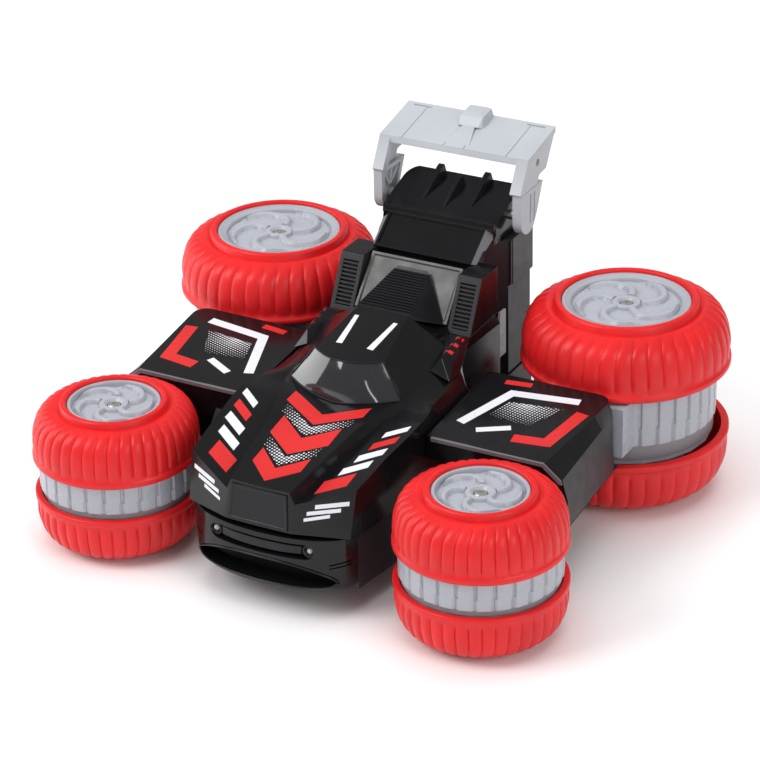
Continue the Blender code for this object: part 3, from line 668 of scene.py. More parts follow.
# The screen's lower and upper edge: half width, Y at its ends, how far it bows forward, height and sag.
SCREEN_FOOT = (27.0, -29.6, 10.0, 68.8, 2.2)
SCREEN_HEAD = (16.6, -25.9, 7.0, 83.2, 0.0)
SCREEN_SWELL = 1.3


def screen_point(level, share):
    """A point of the screen: level goes from 0 at the hood to 1 at the roof, share from -1 to 1 across it."""
    half, end, bow, height, sag = (a + (b - a) * level for a, b in zip(SCREEN_FOOT, SCREEN_HEAD))
    bow += SCREEN_SWELL * math.sin(math.pi * level)
    return half * share, end - bow * (1.0 - share * share), height - sag * (1.0 - abs(share))


def build_body():
    """Hood, fenders, cabin and tail as one moulded shell, with the panel set into the nose."""
    nose = [divided(row, ROW_STEPS) for row in (NOSE_FOOT, HOOD_ROWS[0])]
    hood = [divided(row, ROW_STEPS) for row in HOOD_ROWS]
    cabin = [divided(row, ROW_STEPS) for row in CABIN_ROWS]
    for level in (0, 1):
        for index in range(ROW_STEPS[0]):
            x, y, z = screen_point(level, index / ROW_STEPS[0])
            cabin[level][index] = (x, y + 0.8, z - 0.25)
    rows = along(nose, 6, False)[:-1] + along(hood, 6)[:-1] + along(hood[-1:] + cabin, 4, False)
    surface = loft([whole(row) for row in rows])
    shell = panel("painted_body", surface, "gloss_black", 1.6 * MM, "car_body",
                  replaces=["body_shell", "tail_cover"])
    rounded(shell, 0.55 * MM, 3, 28)
    corners = [(-14.1, -106.0, 41.0), (14.1, -106.0, 41.0), (13.1, -103.9, 56.4), (-13.1, -103.9, 56.4)]
    framed_plate("nose_panel", corners, 0.8, 0.35, 1.4, "satin_black", "car_body")
    return shell


def framed_plate(name, corners, border, recess, thickness, finish, body, **options):
    """A flat plate with a raised border round a sunk middle; it grows back from its outer corners, in mm."""
    points = [Vector(corner) for corner in corners]
    normal = (points[1] - points[0]).cross(points[3] - points[0]).normalized()

    def inset(amount):
        moved = []
        for index, point in enumerate(points):
            before, after = points[index - 1], points[(index + 1) % len(points)]
            first, second = (point - before).normalized(), (after - point).normalized()
            pull = normal.cross(first) + normal.cross(second)
            moved.append(point + pull * amount / (1 + normal.cross(first).dot(normal.cross(second))))
        return moved

    loops = [[point - normal * thickness for point in points], points, inset(border),
             [point - normal * recess for point in inset(border + recess)]]
    bm = bmesh.new()
    rings = [[bm.verts.new(point * MM) for point in loop] for loop in loops]
    count = len(points)
    for lower, upper in zip(rings, rings[1:]):
        for index in range(count):
            after = (index + 1) % count
            bm.faces.new((lower[index], lower[after], upper[after], upper[index]))
    bm.faces.new(rings[0])
    bm.faces.new(rings[-1])
    plate = as_piece(name, to_mesh(name, bm), finish, body, **options)
    return rounded(plate, 0.2 * MM, 2)


def build_windshield():
    """Smoked screen bowed forward between the pillars, with a thin dark gasket round it."""
    columns, rows = 28, 8
    grid = [[screen_point(level / rows, 2.0 * step / columns - 1.0) for step in range(columns + 1)]
            for level in range(rows + 1)]
    screen = panel("smoked_windshield", loft(grid), "smoked_clear", 1.0 * MM, "car_body", (0, -1, 1),
                   replaces=["windshield"])
    rounded(screen, 0.25 * MM, 2)
    edge = grid[0] + [row[-1] for row in grid[1:-1]] + grid[-1][::-1] + [row[0] for row in grid[-2:0:-1]]
    tube("windshield_gasket", [Vector(point) for point in edge], 0.42, "satin_black", "car_body", True)


def tube(name, points, radius, finish, body, cyclic=False, sides=8):
    """A round bead of even radius along points in millimetres."""
    count = len(points)
    bm = bmesh.new()
    rings = []
    up = Vector((0.1, 0.2, 1.0)).normalized()
    for index, point in enumerate(points):
        before = points[index - 1] if index or cyclic else point
        after = points[(index + 1) % count] if index < count - 1 or cyclic else point
        ahead = (after - before).normalized()
        side = ahead.cross(up).normalized()
        over = side.cross(ahead)
        ring = []
        for step in range(sides):
            angle = 2 * math.pi * step / sides
            ring.append(bm.verts.new((point + (side * math.cos(angle) + over * math.sin(angle)) * radius) * MM))
        rings.append(ring)
    pairs = list(zip(rings, rings[1:] + rings[:1])) if cyclic else list(zip(rings, rings[1:]))
    for first, second in pairs:
        for step in range(sides):
            after = (step + 1) % sides
            bm.faces.new((first[step], first[after], second[after], second[step]))
    if not cyclic:
        bm.faces.new(rings[0])
        bm.faces.new(rings[-1])
    return as_piece(name, to_mesh(name, bm, 60.0), finish, body)


def serrated(start, end, teeth, depth, base):
    """Outline in (y, z): saw-like ribs from start to end, closed by going down by base."""
    start, end = Vector(start), Vector(end)
    step = (end - start) / teeth
    normal = Vector((-step.y, step.x)).normalized() * depth
    line = []
    for tooth in range(teeth):
        foot = start + step * tooth
        line += [foot, foot + step * 0.12 + normal, foot + step * 0.62 + normal, foot + step * 0.74]
    line.append(end)
    return [tuple(point) for point in line] + [(end.x, end.y - base), (start.x, start.y - base)]


def build_roof():
    """Louvred ramp behind the roof and the warm grey panel behind it."""
    block = hull(mirrored([(12.4, 4.9, 91.2), (7.2, 33.4, 99.6), (7.2, 33.4, 96.0), (21.8, 20.6, 81.2),
                           (13.4, 6.0, 88.4), (12.6, 4.6, 89.0)]))
    ramp = as_piece("ribbed_ramp", to_mesh("ribbed_ramp", block), "satin_black", "car_body",
                    replaces=["roof_louver"])
    profile = [(3.0, 80.0), (3.0, 90.0), (6.4, 90.7)] + serrated((7.6, 90.4), (32.4, 97.7), 15, 0.6, 0)[:-2]
    profile += [(33.2, 98.8), (36.0, 98.0), (36.0, 80.0)]
    cut(ramp, prism(profile, "X", -24, 24), "INTERSECT")
    ramp.data.shade_smooth()
    ramp.data.set_sharp_from_angle(angle=math.radians(30))
    corners = [(-22.9, 20.4, 81.6), (22.9, 20.4, 81.6), (22.6, 37.9, 101.2), (-22.6, 37.9, 101.2)]
    framed_plate("grey_engine_panel", corners, 1.3, 0.5, 1.6, "warm_grey", "car_body", replaces=["rear_panel"])


def build_side_louvers():
    """Louvre box on each side: a frame with a sunk opening that holds angled slats, a black top and side."""
    low, high = Vector((19.4, 78.2)), Vector((31.6, 101.3))
    slope = (high - low).normalized()
    back = Vector((slope.y, -slope.x))
    for side_name, side in SIDES:
        face = [tuple(low), tuple(high), (47.0, 101.2), (47.0, 79.0)]
        inner, outer = 23.4, 35.0
        near, far = sorted((side * inner, side * outer))
        box = as_piece(f"louver_box_{side_name}", to_mesh("louver_box", prism(face, "X", near, far)),
                       "satin_charcoal", "car_body", replaces=[f"side_louver_{side_name}"])
        box.data.materials.append(FINISH["gloss_black"])
        for polygon in box.data.polygons:
            if polygon.normal.z > 0.9 or polygon.normal.x * side > 0.9:
                polygon.material_index = 1
        foot, head = low + slope * 2.6, high - slope * 3.4
        pocket = [tuple(foot - back), tuple(head - back), tuple(head + back * 2.0), tuple(foot + back * 2.0)]
        slot_in, slot_out = sorted((side * (inner + 2.0), side * (outer - 2.2)))
        cut(box, prism(pocket, "X", slot_in, slot_out))
        box.data.set_sharp_from_angle(angle=math.radians(30))
        rounded(box, 0.35 * MM, 2)
        slats = 11
        for index in range(slats):
            place = foot + (head - foot) * ((index + 0.5) / slats)
            lip = place + back * 0.25 - slope * 0.42
            slat = [tuple(lip), tuple(lip + slope * 0.75), tuple(lip + slope * 1.35 + back * 1.6),
                    tuple(lip + slope * 0.6 + back * 1.6)]
            as_piece(f"louver_slat_{side_name}_{index:02d}", to_mesh("slat", prism(slat, "X", slot_in, slot_out)),
                     "satin_charcoal", "car_body")


INTAKE_BARS = 3


def build_scoops():
    """Intake wedge below each louvre box, with evenly spaced red bars over it."""
    for side_name, side in SIDES:
        points = [(30.2, -9.5, 74.3), (38.7, -7.2, 69.6), (33.0, -3.7, 78.9), (36.6, -0.5, 75.4), (33.8, 13.0, 82.0),
                  (36.0, 15.0, 77.8), (26.0, 14.0, 80.4), (28.0, 0.0, 74.0), (31.5, 18.6, 70.0), (38.4, 2.0, 68.0),
                  (34.6, 19.0, 79.0)]
        wedge = as_piece(f"side_intake_{side_name}",
                         to_mesh("side_intake", hull([(side * x, y, z) for x, y, z in points]), 25),
                         "gloss_black", "car_body")
        rounded(wedge, 0.4 * MM, 2, 20)
        for index in range(INTAKE_BARS):
            bar = slanted(32.5, 35.0, 5.0 * index, 2.0, 2.0)
            print_on(wedge, f"intake_bar_{side_name}_{index}", bar, "print_red", side)


def deck_line(y):
    """Height of the deck's top at a given Y, both in millimetres."""
    return 114.7 + (123.4 - 114.7) * (y - 58.8) / (86.4 - 58.8)


def build_deck():
    """Scoop over the rear: a sunk face between bevelled cheeks, a rounded top and three fins; the right cheek's bevel
    is painted lighter as a highlight.
    """
    face = [(42.0, 101.8), (57.0, 112.6), (57.9, 114.8), (86.0, 123.3), (88.2, 121.8), (88.2, 105.2), (50.0, 105.2),
            (44.0, 101.0)]
    deck = as_piece("scoop_cover", to_mesh("scoop_cover", prism(face, "X", -28.0, 28.0)), "gloss_black", "car_body",
                    replaces=["scoop_deck"])
    # The second finish is a painted highlight for the right cheek's bevel.
    deck.data.materials.append(FINISH["highlight_grey"])
    plan = [(25.6, 41.0), (27.4, 56.0), (28.0, 59.0), (28.0, 76.0)]
    for step in range(7):
        angle = math.radians(90 * step / 6)
        plan.append((20.0 + 8.0 * math.cos(angle), 78.6 + 8.6 * math.sin(angle)))
    cut(deck, prism(ring_outline(plan), "Z", 95, 130), "INTERSECT")
    direction = Vector((57.0 - 42.0, 112.6 - 101.8)).normalized()
    sink = Vector((direction.y, -direction.x)) * 0.7
    start, end = Vector((42.0, 101.8)) + direction * 1.6, Vector((57.0, 112.6)) - direction * 0.9
    outward = sink * -3
    pocket = [tuple(start + outward), tuple(end + outward), tuple(end + sink), tuple(start + sink)]
    cut(deck, prism(pocket, "X", -23.0, 23.0))
    across = Vector((-direction.y, direction.x))
    for side in (-1, 1):
        corners = []
        for reach in (-6.0, 18.2):
            foot = Vector((42.0, 101.8)) + direction * reach
            for x, rise in ((24.2, 0.0), (24.2, 3.0), (31.0, 3.0), (31.0, -6.8)):
                place = foot + across * rise
                corners.append((side * x, place.x, place.y))
        cut(deck, hull(corners))
    # Painted highlight: the bevel facing right, forward and up takes the lighter grey.
    for polygon in deck.data.polygons:
        if polygon.normal.x > 0.3 and polygon.normal.z > 0.3 and polygon.normal.y < -0.2:
            polygon.material_index = 1
    deck.data.shade_smooth()
    deck.data.set_sharp_from_angle(angle=math.radians(30))
    rounded(deck, 0.5 * MM, 3)
    for index, (centre, first, last) in enumerate(((-11.7, 63.5, 85.0), (0.0, 60.8, 80.5), (11.7, 63.5, 85.0))):
        crest = last - 3.0
        points = []
        for half, y, rise in ((0.4, first, -0.3), (2.2, crest, -0.4), (2.2, last, -0.4), (0.3, first + 1.0, 0.2),
                              (1.3, crest, 4.6), (1.5, last - 0.5, 4.4), (2.0, last, 1.4)):
            points += [(centre + half, y, deck_line(y) + rise), (centre - half, y, deck_line(y) + rise)]
        fin = as_piece(f"deck_fin_{index}", to_mesh("deck_fin", hull(points), 30), "satin_black", "car_body")
        rounded(fin, 0.3 * MM, 3, 25)


SEAM_Y = 67.0


def build_tower():
    """Rear tower in two steps with seams and a vented back, the dark wall under the deck and the inner frame."""
    front, back = 57.8, 89.4
    lower, upper = 30.2, 31.6
    section = [(lower, 38.3), (lower, 81.8), (upper, 82.6), (upper, 104.8)]
    tower = as_piece("tower_shell", to_mesh("tower_shell", prism(ring_outline(section), "Y", front, back)),
                     "satin_charcoal", "car_body", replaces=["rear_tower"])
    plan = [(0.0, front), (23.6, front), (40.0, SEAM_Y + (40.0 - lower) * (SEAM_Y - front) / (lower - 23.6)), (40.0, 95.0),
            (0.0, 95.0)]
    cut(tower, prism(closed_about_zero(plan), "Z", 30, 110), "INTERSECT")
    for side_name, side in SIDES:
        for part, outer, low, high in (("upper", upper, 83.2, 104.2), ("lower", lower, 38.6, 81.2)):
            near, far = sorted((side * (outer - 0.5), side * (outer + 0.06)))
            seam = prism([(SEAM_Y - 0.3, low), (SEAM_Y + 0.3, low), (SEAM_Y + 0.3, high), (SEAM_Y - 0.3, high)],
                         "X", near, far)
            as_piece(f"tower_seam_{part}_{side_name}", to_mesh("tower_seam", seam), "satin_black", "car_body")
    for index in range(6):
        height = 48.0 + 5.0 * index
        cut(tower, prism([(-20, height), (20, height), (20, height + 2.2), (-20, height + 2.2)], "Y", back - 1.1, back + 0.6))
    cut(tower, prism([(-27, 80.0), (27, 80.0), (27, 98.0), (-27, 98.0)], "Y", back - 0.7, back + 0.6))
    tower.data.shade_smooth()
    tower.data.set_sharp_from_angle(angle=math.radians(30))
    rounded(tower, 0.3 * MM, 2, 40)
    wall = prism([(46.0, 79.0), (front - 0.2, 79.0), (front - 0.2, 105.0), (50.0, 105.0), (44.6, 101.2)], "X", -24, 24)
    rounded(as_piece("deck_wall", to_mesh("deck_wall", wall, 30), "satin_black", "car_body"), 0.4 * MM, 2)
    for side_name, side in SIDES:
        near, far = sorted((side * 28.9, side * 30.2))
        frame_plate = prism([(54.6, 50.0), (64.6, 50.0), (64.6, 72.0), (59.0, 72.0)], "X", near, far)
        rounded(as_piece(f"inner_frame_{side_name}", to_mesh("inner_frame", frame_plate), "light_grey", "car_body"),
                0.3 * MM, 2)


# ------------------------------------------------------------------ spoiler

def build_spoiler():
    """Blade with its centre bump and end plates, and two grooved arms with ribs on their inner sides."""
    face = [(73.0, 141.6), (101.3, 147.4), (101.0, 144.6), (96.0, 143.4), (75.0, 139.0), (72.3, 138.6)]
    blade = as_piece("wing_blade", to_mesh("wing_blade", prism(face, "X", -37.0, 37.0)), "pale_grey", "spoiler",
                     replaces=["spoiler_blade"])
    for side in (-1, 1):
        low, high = sorted((side * 31.6, side * 37.0))
        leg = [(72.9, 141.0), (77.6, 141.8), (71.8, 131.6), (70.9, 127.0), (65.7, 126.8), (65.2, 127.6)]
        cut(blade, prism(leg, "X", low, high), "UNION")
        low, high = sorted((side * 34.2, side * 37.0))
        plate = [(74.0, 141.2), (101.2, 146.9), (91.4, 131.2), (84.4, 130.6), (82.2, 127.0), (68.0, 126.8)]
        cut(blade, prism(plate, "X", low, high), "UNION")
        low, high = sorted((side * 35.6, side * 38.0))
        cut(blade, rod((low, 82.8, 140.0 - 3.0), (high, 82.8, 140.0 - 3.0), 1.7))
        slit = [(98.6, 146.0), (99.5, 146.2), (99.5, 149.0), (98.6, 149.0)]
        low, high = sorted((side * 24.0, side * 33.0))
        cut(blade, prism(slit, "X", low, high))
    for x, lean in ((-26.0, 0.0), (26.0, 0.0), (-5.2, 0.5), (5.2, 0.5)):
        groove = hull([(x - 0.2, 72.0, 141.0), (x + 0.2, 72.0, 141.0), (x - 0.2, 72.0, 145.0), (x + 0.2, 72.0, 145.0),
                       (x * (1 - lean) - 0.2, 99.0, 146.6), (x * (1 - lean) + 0.2, 99.0, 146.6),
                       (x * (1 - lean) - 0.2, 99.0, 150.0), (x * (1 - lean) + 0.2, 99.0, 150.0)])
        cut(blade, groove)
    blade.data.shade_smooth()
    blade.data.set_sharp_from_angle(angle=math.radians(30))
    rounded(blade, 0.35 * MM, 3)
    flare = hull(mirrored([(6.8, 75.4, 142.2), (2.2, 91.0, 145.3), (2.2, 91.0, 146.6), (6.8, 75.4, 141.6)]))
    rounded(as_piece("bump_ramp", to_mesh("bump_ramp", flare), "pale_grey", "spoiler"), 0.2 * MM, 2)
    bump = hull(mirrored([(6.6, 89.8, 144.6), (6.6, 101.3, 146.6), (5.6, 91.6, 149.4), (5.4, 101.0, 150.8),
                          (3.2, 93.4, 150.6), (3.2, 100.2, 151.3), (4.8, 88.4, 145.6)]))
    rounded(as_piece("bump", to_mesh("bump", bump, 24), "pale_grey", "spoiler"), 0.4 * MM, 3, 12)

    pivot = Vector((73.5, 114.0))
    line = [(pivot.x + 7.5 * math.cos(math.radians(angle)), pivot.y + 7.5 * math.sin(math.radians(angle)))
            for angle in range(180, 340, 8)]
    line += [(82.0, 113.2), (88.2, 126.6), (66.2, 126.6)]
    for side_name, side in SIDES:
        low, high = sorted((side * 32.6, side * 37.0))
        arm = as_piece(f"spoiler_leg_{side_name}", to_mesh("spoiler_leg", prism(line, "X", low, high)), "pale_grey",
                       "spoiler", replaces=[f"spoiler_arm_{side_name}"])
        for y in (74.6, 78.4):
            groove = [(y, 110.8), (y + 1.3, 110.8), (y + 1.9, 124.4), (y + 0.6, 124.4)]
            low, high = sorted((side * 36.4, side * 38.0))
            cut(arm, prism(groove, "X", low, high))
        pocket = [(69.0, 112.0), (78.0, 110.6), (84.0, 124.6), (69.0, 124.6)]
        low, high = sorted((side * 31.0, side * 34.4))
        cut(arm, prism(pocket, "X", low, high))
        arm.data.shade_smooth()
        arm.data.set_sharp_from_angle(angle=math.radians(30))
        rounded(arm, 0.35 * MM, 3)
        inside = side * 33.7
        for index, (start, end) in enumerate((((69.4, 112.4), (82.6, 124.2)), ((77.4, 111.4), (69.4, 124.2)),
                                              ((73.0, 111.6), (76.0, 124.2)))):
            beam = Vector(end) - Vector(start)
            across = Vector((-beam.y, beam.x)).normalized() * 0.45
            corners = [Vector(start) + across, Vector(end) + across, Vector(end) - across, Vector(start) - across]
            low, high = sorted((inside - side * 0.8, inside + side * 1.0))
            as_piece(f"leg_rib_{side_name}_{index}",
                     to_mesh("leg_rib", prism([tuple(corner) for corner in corners], "X", low, high)),
                     "pale_grey", "spoiler")
        pin = rod((side * 27.0, 73.5, 114.0), (side * 33.4, 73.5, 114.0), 2.2)
        as_piece(f"spoiler_pivot_{side_name}", to_mesh("spoiler_pivot", pin), "steel", "spoiler")


def rod(start, end, radius, sides=24, end_radius=None):
    """A capped round rod between two points, in millimetres."""
    start, end = Vector(start) * MM, Vector(end) * MM
    bm = bmesh.new()
    bmesh.ops.create_cone(bm, cap_ends=True, segments=sides, radius1=radius * MM,
                          radius2=(radius if end_radius is None else end_radius) * MM, depth=(end - start).length)
    turn = (end - start).to_track_quat("Z", "Y").to_matrix().to_4x4()
    bmesh.ops.transform(bm, matrix=Matrix.Translation((start + end) / 2) @ turn, verts=bm.verts)
    return bm


# ------------------------------------------------------------------ wings

def wing_section(y):
    """Upper outline of the right wing across the car at a given Y, from the root out and down, in mm."""
    share = (y + 39.4) / (19.4 + 39.4)
    top = 61.0 + 3.8 * share
    edge = 99.4 + 4.4 * share
    side_top, shoulder = 107.0 - 1.6 * share, 54.6 + 4.4 * share
    low = 110.0 - 3.8 * share
    corner = 0.0
    if y > 12.4:
        corner = 7.0 - math.sqrt(max(0.0, 49.0 - (y - 12.4) ** 2))
    return [(44.0, top - 0.4), (edge - corner, top), (side_top - corner, shoulder),
            (low - 0.4 - corner, 45.0), (low - corner, 33.0), (66.0, 33.0), (60.0, 50.0), (44.0, 50.0)]


def build_wings():
    """Wing covers with a rounded rear corner, pale strips along their front edges as painted highlights, and the lower
    halves.
    """
    stations = [-39.4 + 51.8 * step / 10 for step in range(11)] + [12.4 + 7.0 * math.sin(math.radians(9 * step))
                                                                   for step in range(1, 11)]
    for side_name, side in SIDES:
        bm = bmesh.new()
        rings = [[bm.verts.new(Vector((side * x, y, z)) * MM) for x, z in wing_section(y)] for y in stations]
        count = len(rings[0])
        for first, second in zip(rings, rings[1:]):
            for index in range(count):
                after = (index + 1) % count
                bm.faces.new((first[index], first[after], second[after], second[index]))
        bm.faces.new(rings[0])
        bm.faces.new(rings[-1])
        cover = as_piece(f"wing_cover_{side_name}", to_mesh("wing_cover", bm, 30), "gloss_black", "car_body",
                         replaces=[f"wing_upper_{side_name}"])
        cover.data.materials.append(FINISH["satin_charcoal"])
        for polygon in cover.data.polygons:
            if polygon.normal.z < 0.5 and polygon.center.x * side > 0.09:
                polygon.material_index = 1
        rounded(cover, 0.5 * MM, 3, 25)
        # Painted highlight: a pale strip along each wing's front edge, where its bevel catches the light.
        strip = [(46.0, 60.7), (98.6, 60.9), (106.4, 54.6), (107.2, 52.4), (105.6, 52.2), (97.8, 58.8), (46.0, 58.6)]
        edge = as_piece(f"wing_highlight_edge_{side_name}",
                        to_mesh("wing_highlight_edge", prism([(side * x, z) for x, z in strip], "Y", -40.1, -38.6)),
                        "highlight_grey", "car_body")
        rounded(edge, 0.4 * MM, 2)


# ------------------------------------------------------------------ bumper and underside

def build_bumper():
    """Lower nose: a wide smiling mouth with an inner lip, and a sunk bar above it with a lamp at each end."""
    outline = [(0, -107.2), (14.0, -106.2), (27.0, -102.8), (35.0, -97.6), (38.6, -92.2), (38.6, -90.9)]
    levels = ((13.0, 0.93, 1.4), (15.4, 0.985, 0.2), (26.0, 1.0, 0.0), (36.0, 0.99, 0.5), (37.7, 0.98, 0.8))
    curve = [tuple(point) for point in smooth_line(outline[:-1], 6)] + [outline[-1]]
    bm = bmesh.new()
    rings = []
    for height, widen, back in levels:
        half = [(x * widen, min(y + back, -90.9), height) for x, y in curve]
        rings.append([bm.verts.new(Vector(point) * MM) for point in whole(half)])
    count = len(rings[0])
    for lower, upper in zip(rings, rings[1:]):
        for index in range(count):
            after = (index + 1) % count
            bm.faces.new((lower[index], lower[after], upper[after], upper[index]))
    bm.faces.new(rings[0])
    bm.faces.new(rings[-1])
    bumper = as_piece("nose_bumper", to_mesh("nose_bumper", bm, 30), "gloss_black", "car_body",
                      replaces=["front_bumper"])
    upper = [tuple(point) for point in smooth_line([(0, 26.8), (14, 26.2), (25, 23.6), (31.4, 20.4), (33.6, 18.0)], 5)]
    lower = [tuple(point) for point in smooth_line([(33.6, 18.0), (30.0, 16.4), (18, 15.6), (0, 15.4)], 5)]
    mouth = upper[:-1] + lower
    cut(bumper, prism(closed_about_zero(mouth), "Y", -112, -95))
    bar = rounded_slot(24.6, 32.2, 3.4)
    cut(bumper, prism(bar, "Y", -112, -101.4))
    for side in (-1, 1):
        for height in (24.6, 26.2):
            line = [(side * 30.5, height), (side * 37.5, height + 1.2), (side * 37.5, height + 1.8),
                    (side * 30.5, height + 0.6)]
            cut(bumper, prism(line, "Y", -104, -93.4))
    bumper.data.shade_smooth()
    bumper.data.set_sharp_from_angle(angle=math.radians(30))
    rounded(bumper, 0.3 * MM, 2, 35)
    rim = [Vector((x, face_line(curve, x) - 0.1, z)) for x, z in closed_about_zero(mouth)]
    tube("mouth_rim", rim, 0.5, "gloss_black", "car_body", True)
    middle = [tuple(point) for point in smooth_line([(0, -106.0), (10.0, -105.4), (19.0, -103.4)], 5)]
    plate = [(x, y, 30.2) for x, y in middle], [(x, y, 34.2) for x, y in middle]
    surface = loft([whole(plate[0]), whole(plate[1])])
    rounded(panel("bumper_bar", surface, "satin_black", 3.0 * MM, "car_body", (0, -1, 0)), 0.4 * MM, 2)
    for side_name, side in SIDES:
        bowl = ring_mesh("lamp_bowl", [(2.9 * MM, 0.0), (2.9 * MM, 1.6 * MM), (2.3 * MM, 1.6 * MM), (1.6 * MM, 0.5 * MM),
                                       (0.1 * MM, 0.3 * MM), (0.1 * MM, 0.0)], 32,
                         lambda index, angle, radius, height: (radius, height, 0.0), 40.0)
        as_piece(f"lamp_bowl_{side_name}", bowl, "satin_black", "car_body",
                 place=Vector((side * 22.3, -101.6, 32.2)) * MM, turn=(math.pi / 2, 0, 0))
        lens = ring_mesh("lamp_lens", [(0.05 * MM, 1.6 * MM), (0.7 * MM, 1.45 * MM), (1.15 * MM, 1.0 * MM),
                                       (1.35 * MM, 0.4 * MM), (0.05 * MM, 0.4 * MM)], 32,
                         lambda index, angle, radius, height: (radius, height, 0.0), 50.0)
        as_piece(f"lamp_dome_{side_name}", lens, "lens", "car_body", replaces=[f"lamp_lens_{side_name}"],
                 place=Vector((side * 22.3, -101.6, 32.2)) * MM, turn=(math.pi / 2, 0, 0))


def face_line(curve, x):
    """Y of a symmetric front outline at a given X, from its points with growing X."""
    for (ax, ay), (bx, by) in zip(curve, curve[1:]):
        if ax <= abs(x) <= bx:
            return ay + (by - ay) * (abs(x) - ax) / (bx - ax)
    return curve[-1][1]


def closed_about_zero(half):
    """A closed outline from its positive half, whose first and last points lie at zero."""
    return list(half) + [(-a, b) for a, b in reversed(half[1:-1])]


def rounded_slot(half_length, height, radius):
    """A slot outline with round ends about zero, at the given height."""
    points = []
    for centre, start in ((half_length - radius, -90), (-(half_length - radius), 90)):
        for step in range(9):
            angle = math.radians(start + 180 * step / 8)
            points.append((centre + radius * math.cos(angle), height + radius * math.sin(angle)))
    return points


def build_underside():
    """Screws that hold the battery door and the wings, and the door's finger ridges."""
    low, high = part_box("battery_door")
    spots = [(side * 17.4, y) for side in (-1, 1) for y in (low.y / MM + 3.0, high.y / MM - 3.0)]
    spots += [(side * x, y) for side in (-1, 1) for x, y in ((34.0, -80.0), (36.0, 10.0))]
    for index, (x, y) in enumerate(spots):
        mesh = screw_mesh("case_screw", 0.9 * MM, -3.0 * MM, 2.2 * MM)
        as_piece(f"case_screw_{index}", mesh, "steel", "car_body", place=Vector((x, y, 12.2)) * MM,
                 turn=(math.pi, 0, 0))
    for index in range(5):
        y = high.y / MM - 14.0 - 2.2 * index
        ridge = prism([(-7.0, 11.3), (7.0, 11.3), (7.6, 12.2), (-7.6, 12.2)], "Y", y, y + 1.1)
        as_piece(f"door_ridge_{index}", to_mesh("door_ridge", ridge), "satin_charcoal", "car_body")


# ------------------------------------------------------------------ printed graphics

PRINT_STEP = 1.3                  # spacing of the points that a print follows its panel with, in millimetres
PRINT_RISE = 0.07 * MM


def inside(point, outline):
    crossings = 0
    for (ax, ay), (bx, by) in zip(outline, outline[1:] + outline[:1]):
        if (ay > point[1]) != (by > point[1]) and point[0] < (bx - ax) * (point[1] - ay) / (by - ay) + ax:
            crossings += 1
    return crossings % 2 == 1


def filled(outline):
    """Triangles over an outline with evenly spread points inside it."""
    border = []
    for start, end in zip(outline, outline[1:] + outline[:1]):
        start, end = Vector(start), Vector(end)
        count = max(1, round((end - start).length / PRINT_STEP))
        border += [start + (end - start) * step / count for step in range(count)]
    low = [min(point[axis] for point in outline) for axis in (0, 1)]
    high = [max(point[axis] for point in outline) for axis in (0, 1)]
    points = list(border)
    for row in range(int((high[1] - low[1]) / PRINT_STEP) + 1):
        for column in range(int((high[0] - low[0]) / PRINT_STEP) + 1):
            point = Vector((low[0] + (column + 0.5 * (row % 2)) * PRINT_STEP, low[1] + row * PRINT_STEP))
            if inside(point, outline) and min((point - other).length for other in border) > 0.5 * PRINT_STEP:
                points.append(point)
    edges = [(index, (index + 1) % len(border)) for index in range(len(border))]
    made = delaunay_2d_cdt(points, edges, [], 1, 0.0001)
    return made[0], made[2]


def print_on(target, name, outline, finish, side=1, axis="Z"):
    """A thin print laid on a panel: its outline is seen along Z (x, y) or along Y (x, z), in millimetres."""
    graph = bpy.context.evaluated_depsgraph_get()
    surface = BVHTree.FromObject(target, graph)
    flat, faces = filled([(side * a, b) for a, b in outline])
    away = Vector((0, 0, 1)) if axis == "Z" else Vector((0, -1, 0))
    bm = bmesh.new()
    lower, upper = [], []
    for a, b in flat:
        start = Vector((a, b, 200) if axis == "Z" else (a, -200, b)) * MM
        place, normal = surface.ray_cast(start, -away)[:2]
        if place is None:
            place, normal = surface.find_nearest(start - away * (140 * MM if axis == "Z" else 95 * MM))[:2]
        lower.append(bm.verts.new(place - normal * 0.03 * MM))
        upper.append(bm.verts.new(place + normal * PRINT_RISE))
    rims = {}
    for face in faces:
        bm.faces.new([upper[index] for index in face])
        bm.faces.new([lower[index] for index in reversed(face)])
        for first, second in zip(face, face[1:] + face[:1]):
            rims[(first, second)] = True
    for first, second in list(rims):
        if (second, first) not in rims:
            bm.faces.new((upper[second], upper[first], lower[first], lower[second]))
    return as_piece(name, to_mesh(name, bm, 40), finish, "car_body")


def chevron(tip, half, depth, rise=10.0):
    """V-shaped band across the hood that points at the nose."""
    right = [(0.0, tip), (half, tip + rise), (half, tip + rise + depth), (0.0, tip + depth)]
    return right + [(-x, y) for x, y in reversed(right[1:3])]


def slanted(inner, outer, start, lean, width):
    """Bar across a panel from inner to outer, which moves on by lean on its way."""
    return [(inner, start), (outer, start + lean), (outer, start + lean + width), (inner, start + width)]


def stripe(path, width):
    """Band of one width along a bent line, with mitred corners."""
    runs = [(Vector(after) - Vector(before)).normalized() for before, after in zip(path, path[1:])]
    left, right = [], []
    for index, point in enumerate(path):
        before, after = runs[max(0, index - 1)], runs[min(index, len(runs) - 1)]
        both = before + after
        across = Vector((-both.y, both.x)).normalized()
        offset = across * width / 2 / across.dot(Vector((-after.y, after.x)))
        left.append(tuple(Vector(point) + offset))
        right.append(tuple(Vector(point) - offset))
    return left + right[::-1]


def build_hood_print(body):
    """Racing chevrons down the hood, red with dotted ones between them."""
    bands = [(-99.0, 11.5, 9.0, "print_red"), (-88.0, 12.5, 6.0, "fade_lower"), (-80.0, 14.0, 12.0, "print_red"),
             (-66.0, 16.5, 6.0, "fade_upper"), (-58.0, 18.5, 8.0, "print_red")]
    for index, (tip, half, depth, finish) in enumerate(bands):
        print_on(body, f"hood_chevron_{index}", chevron(tip, half, depth), finish)


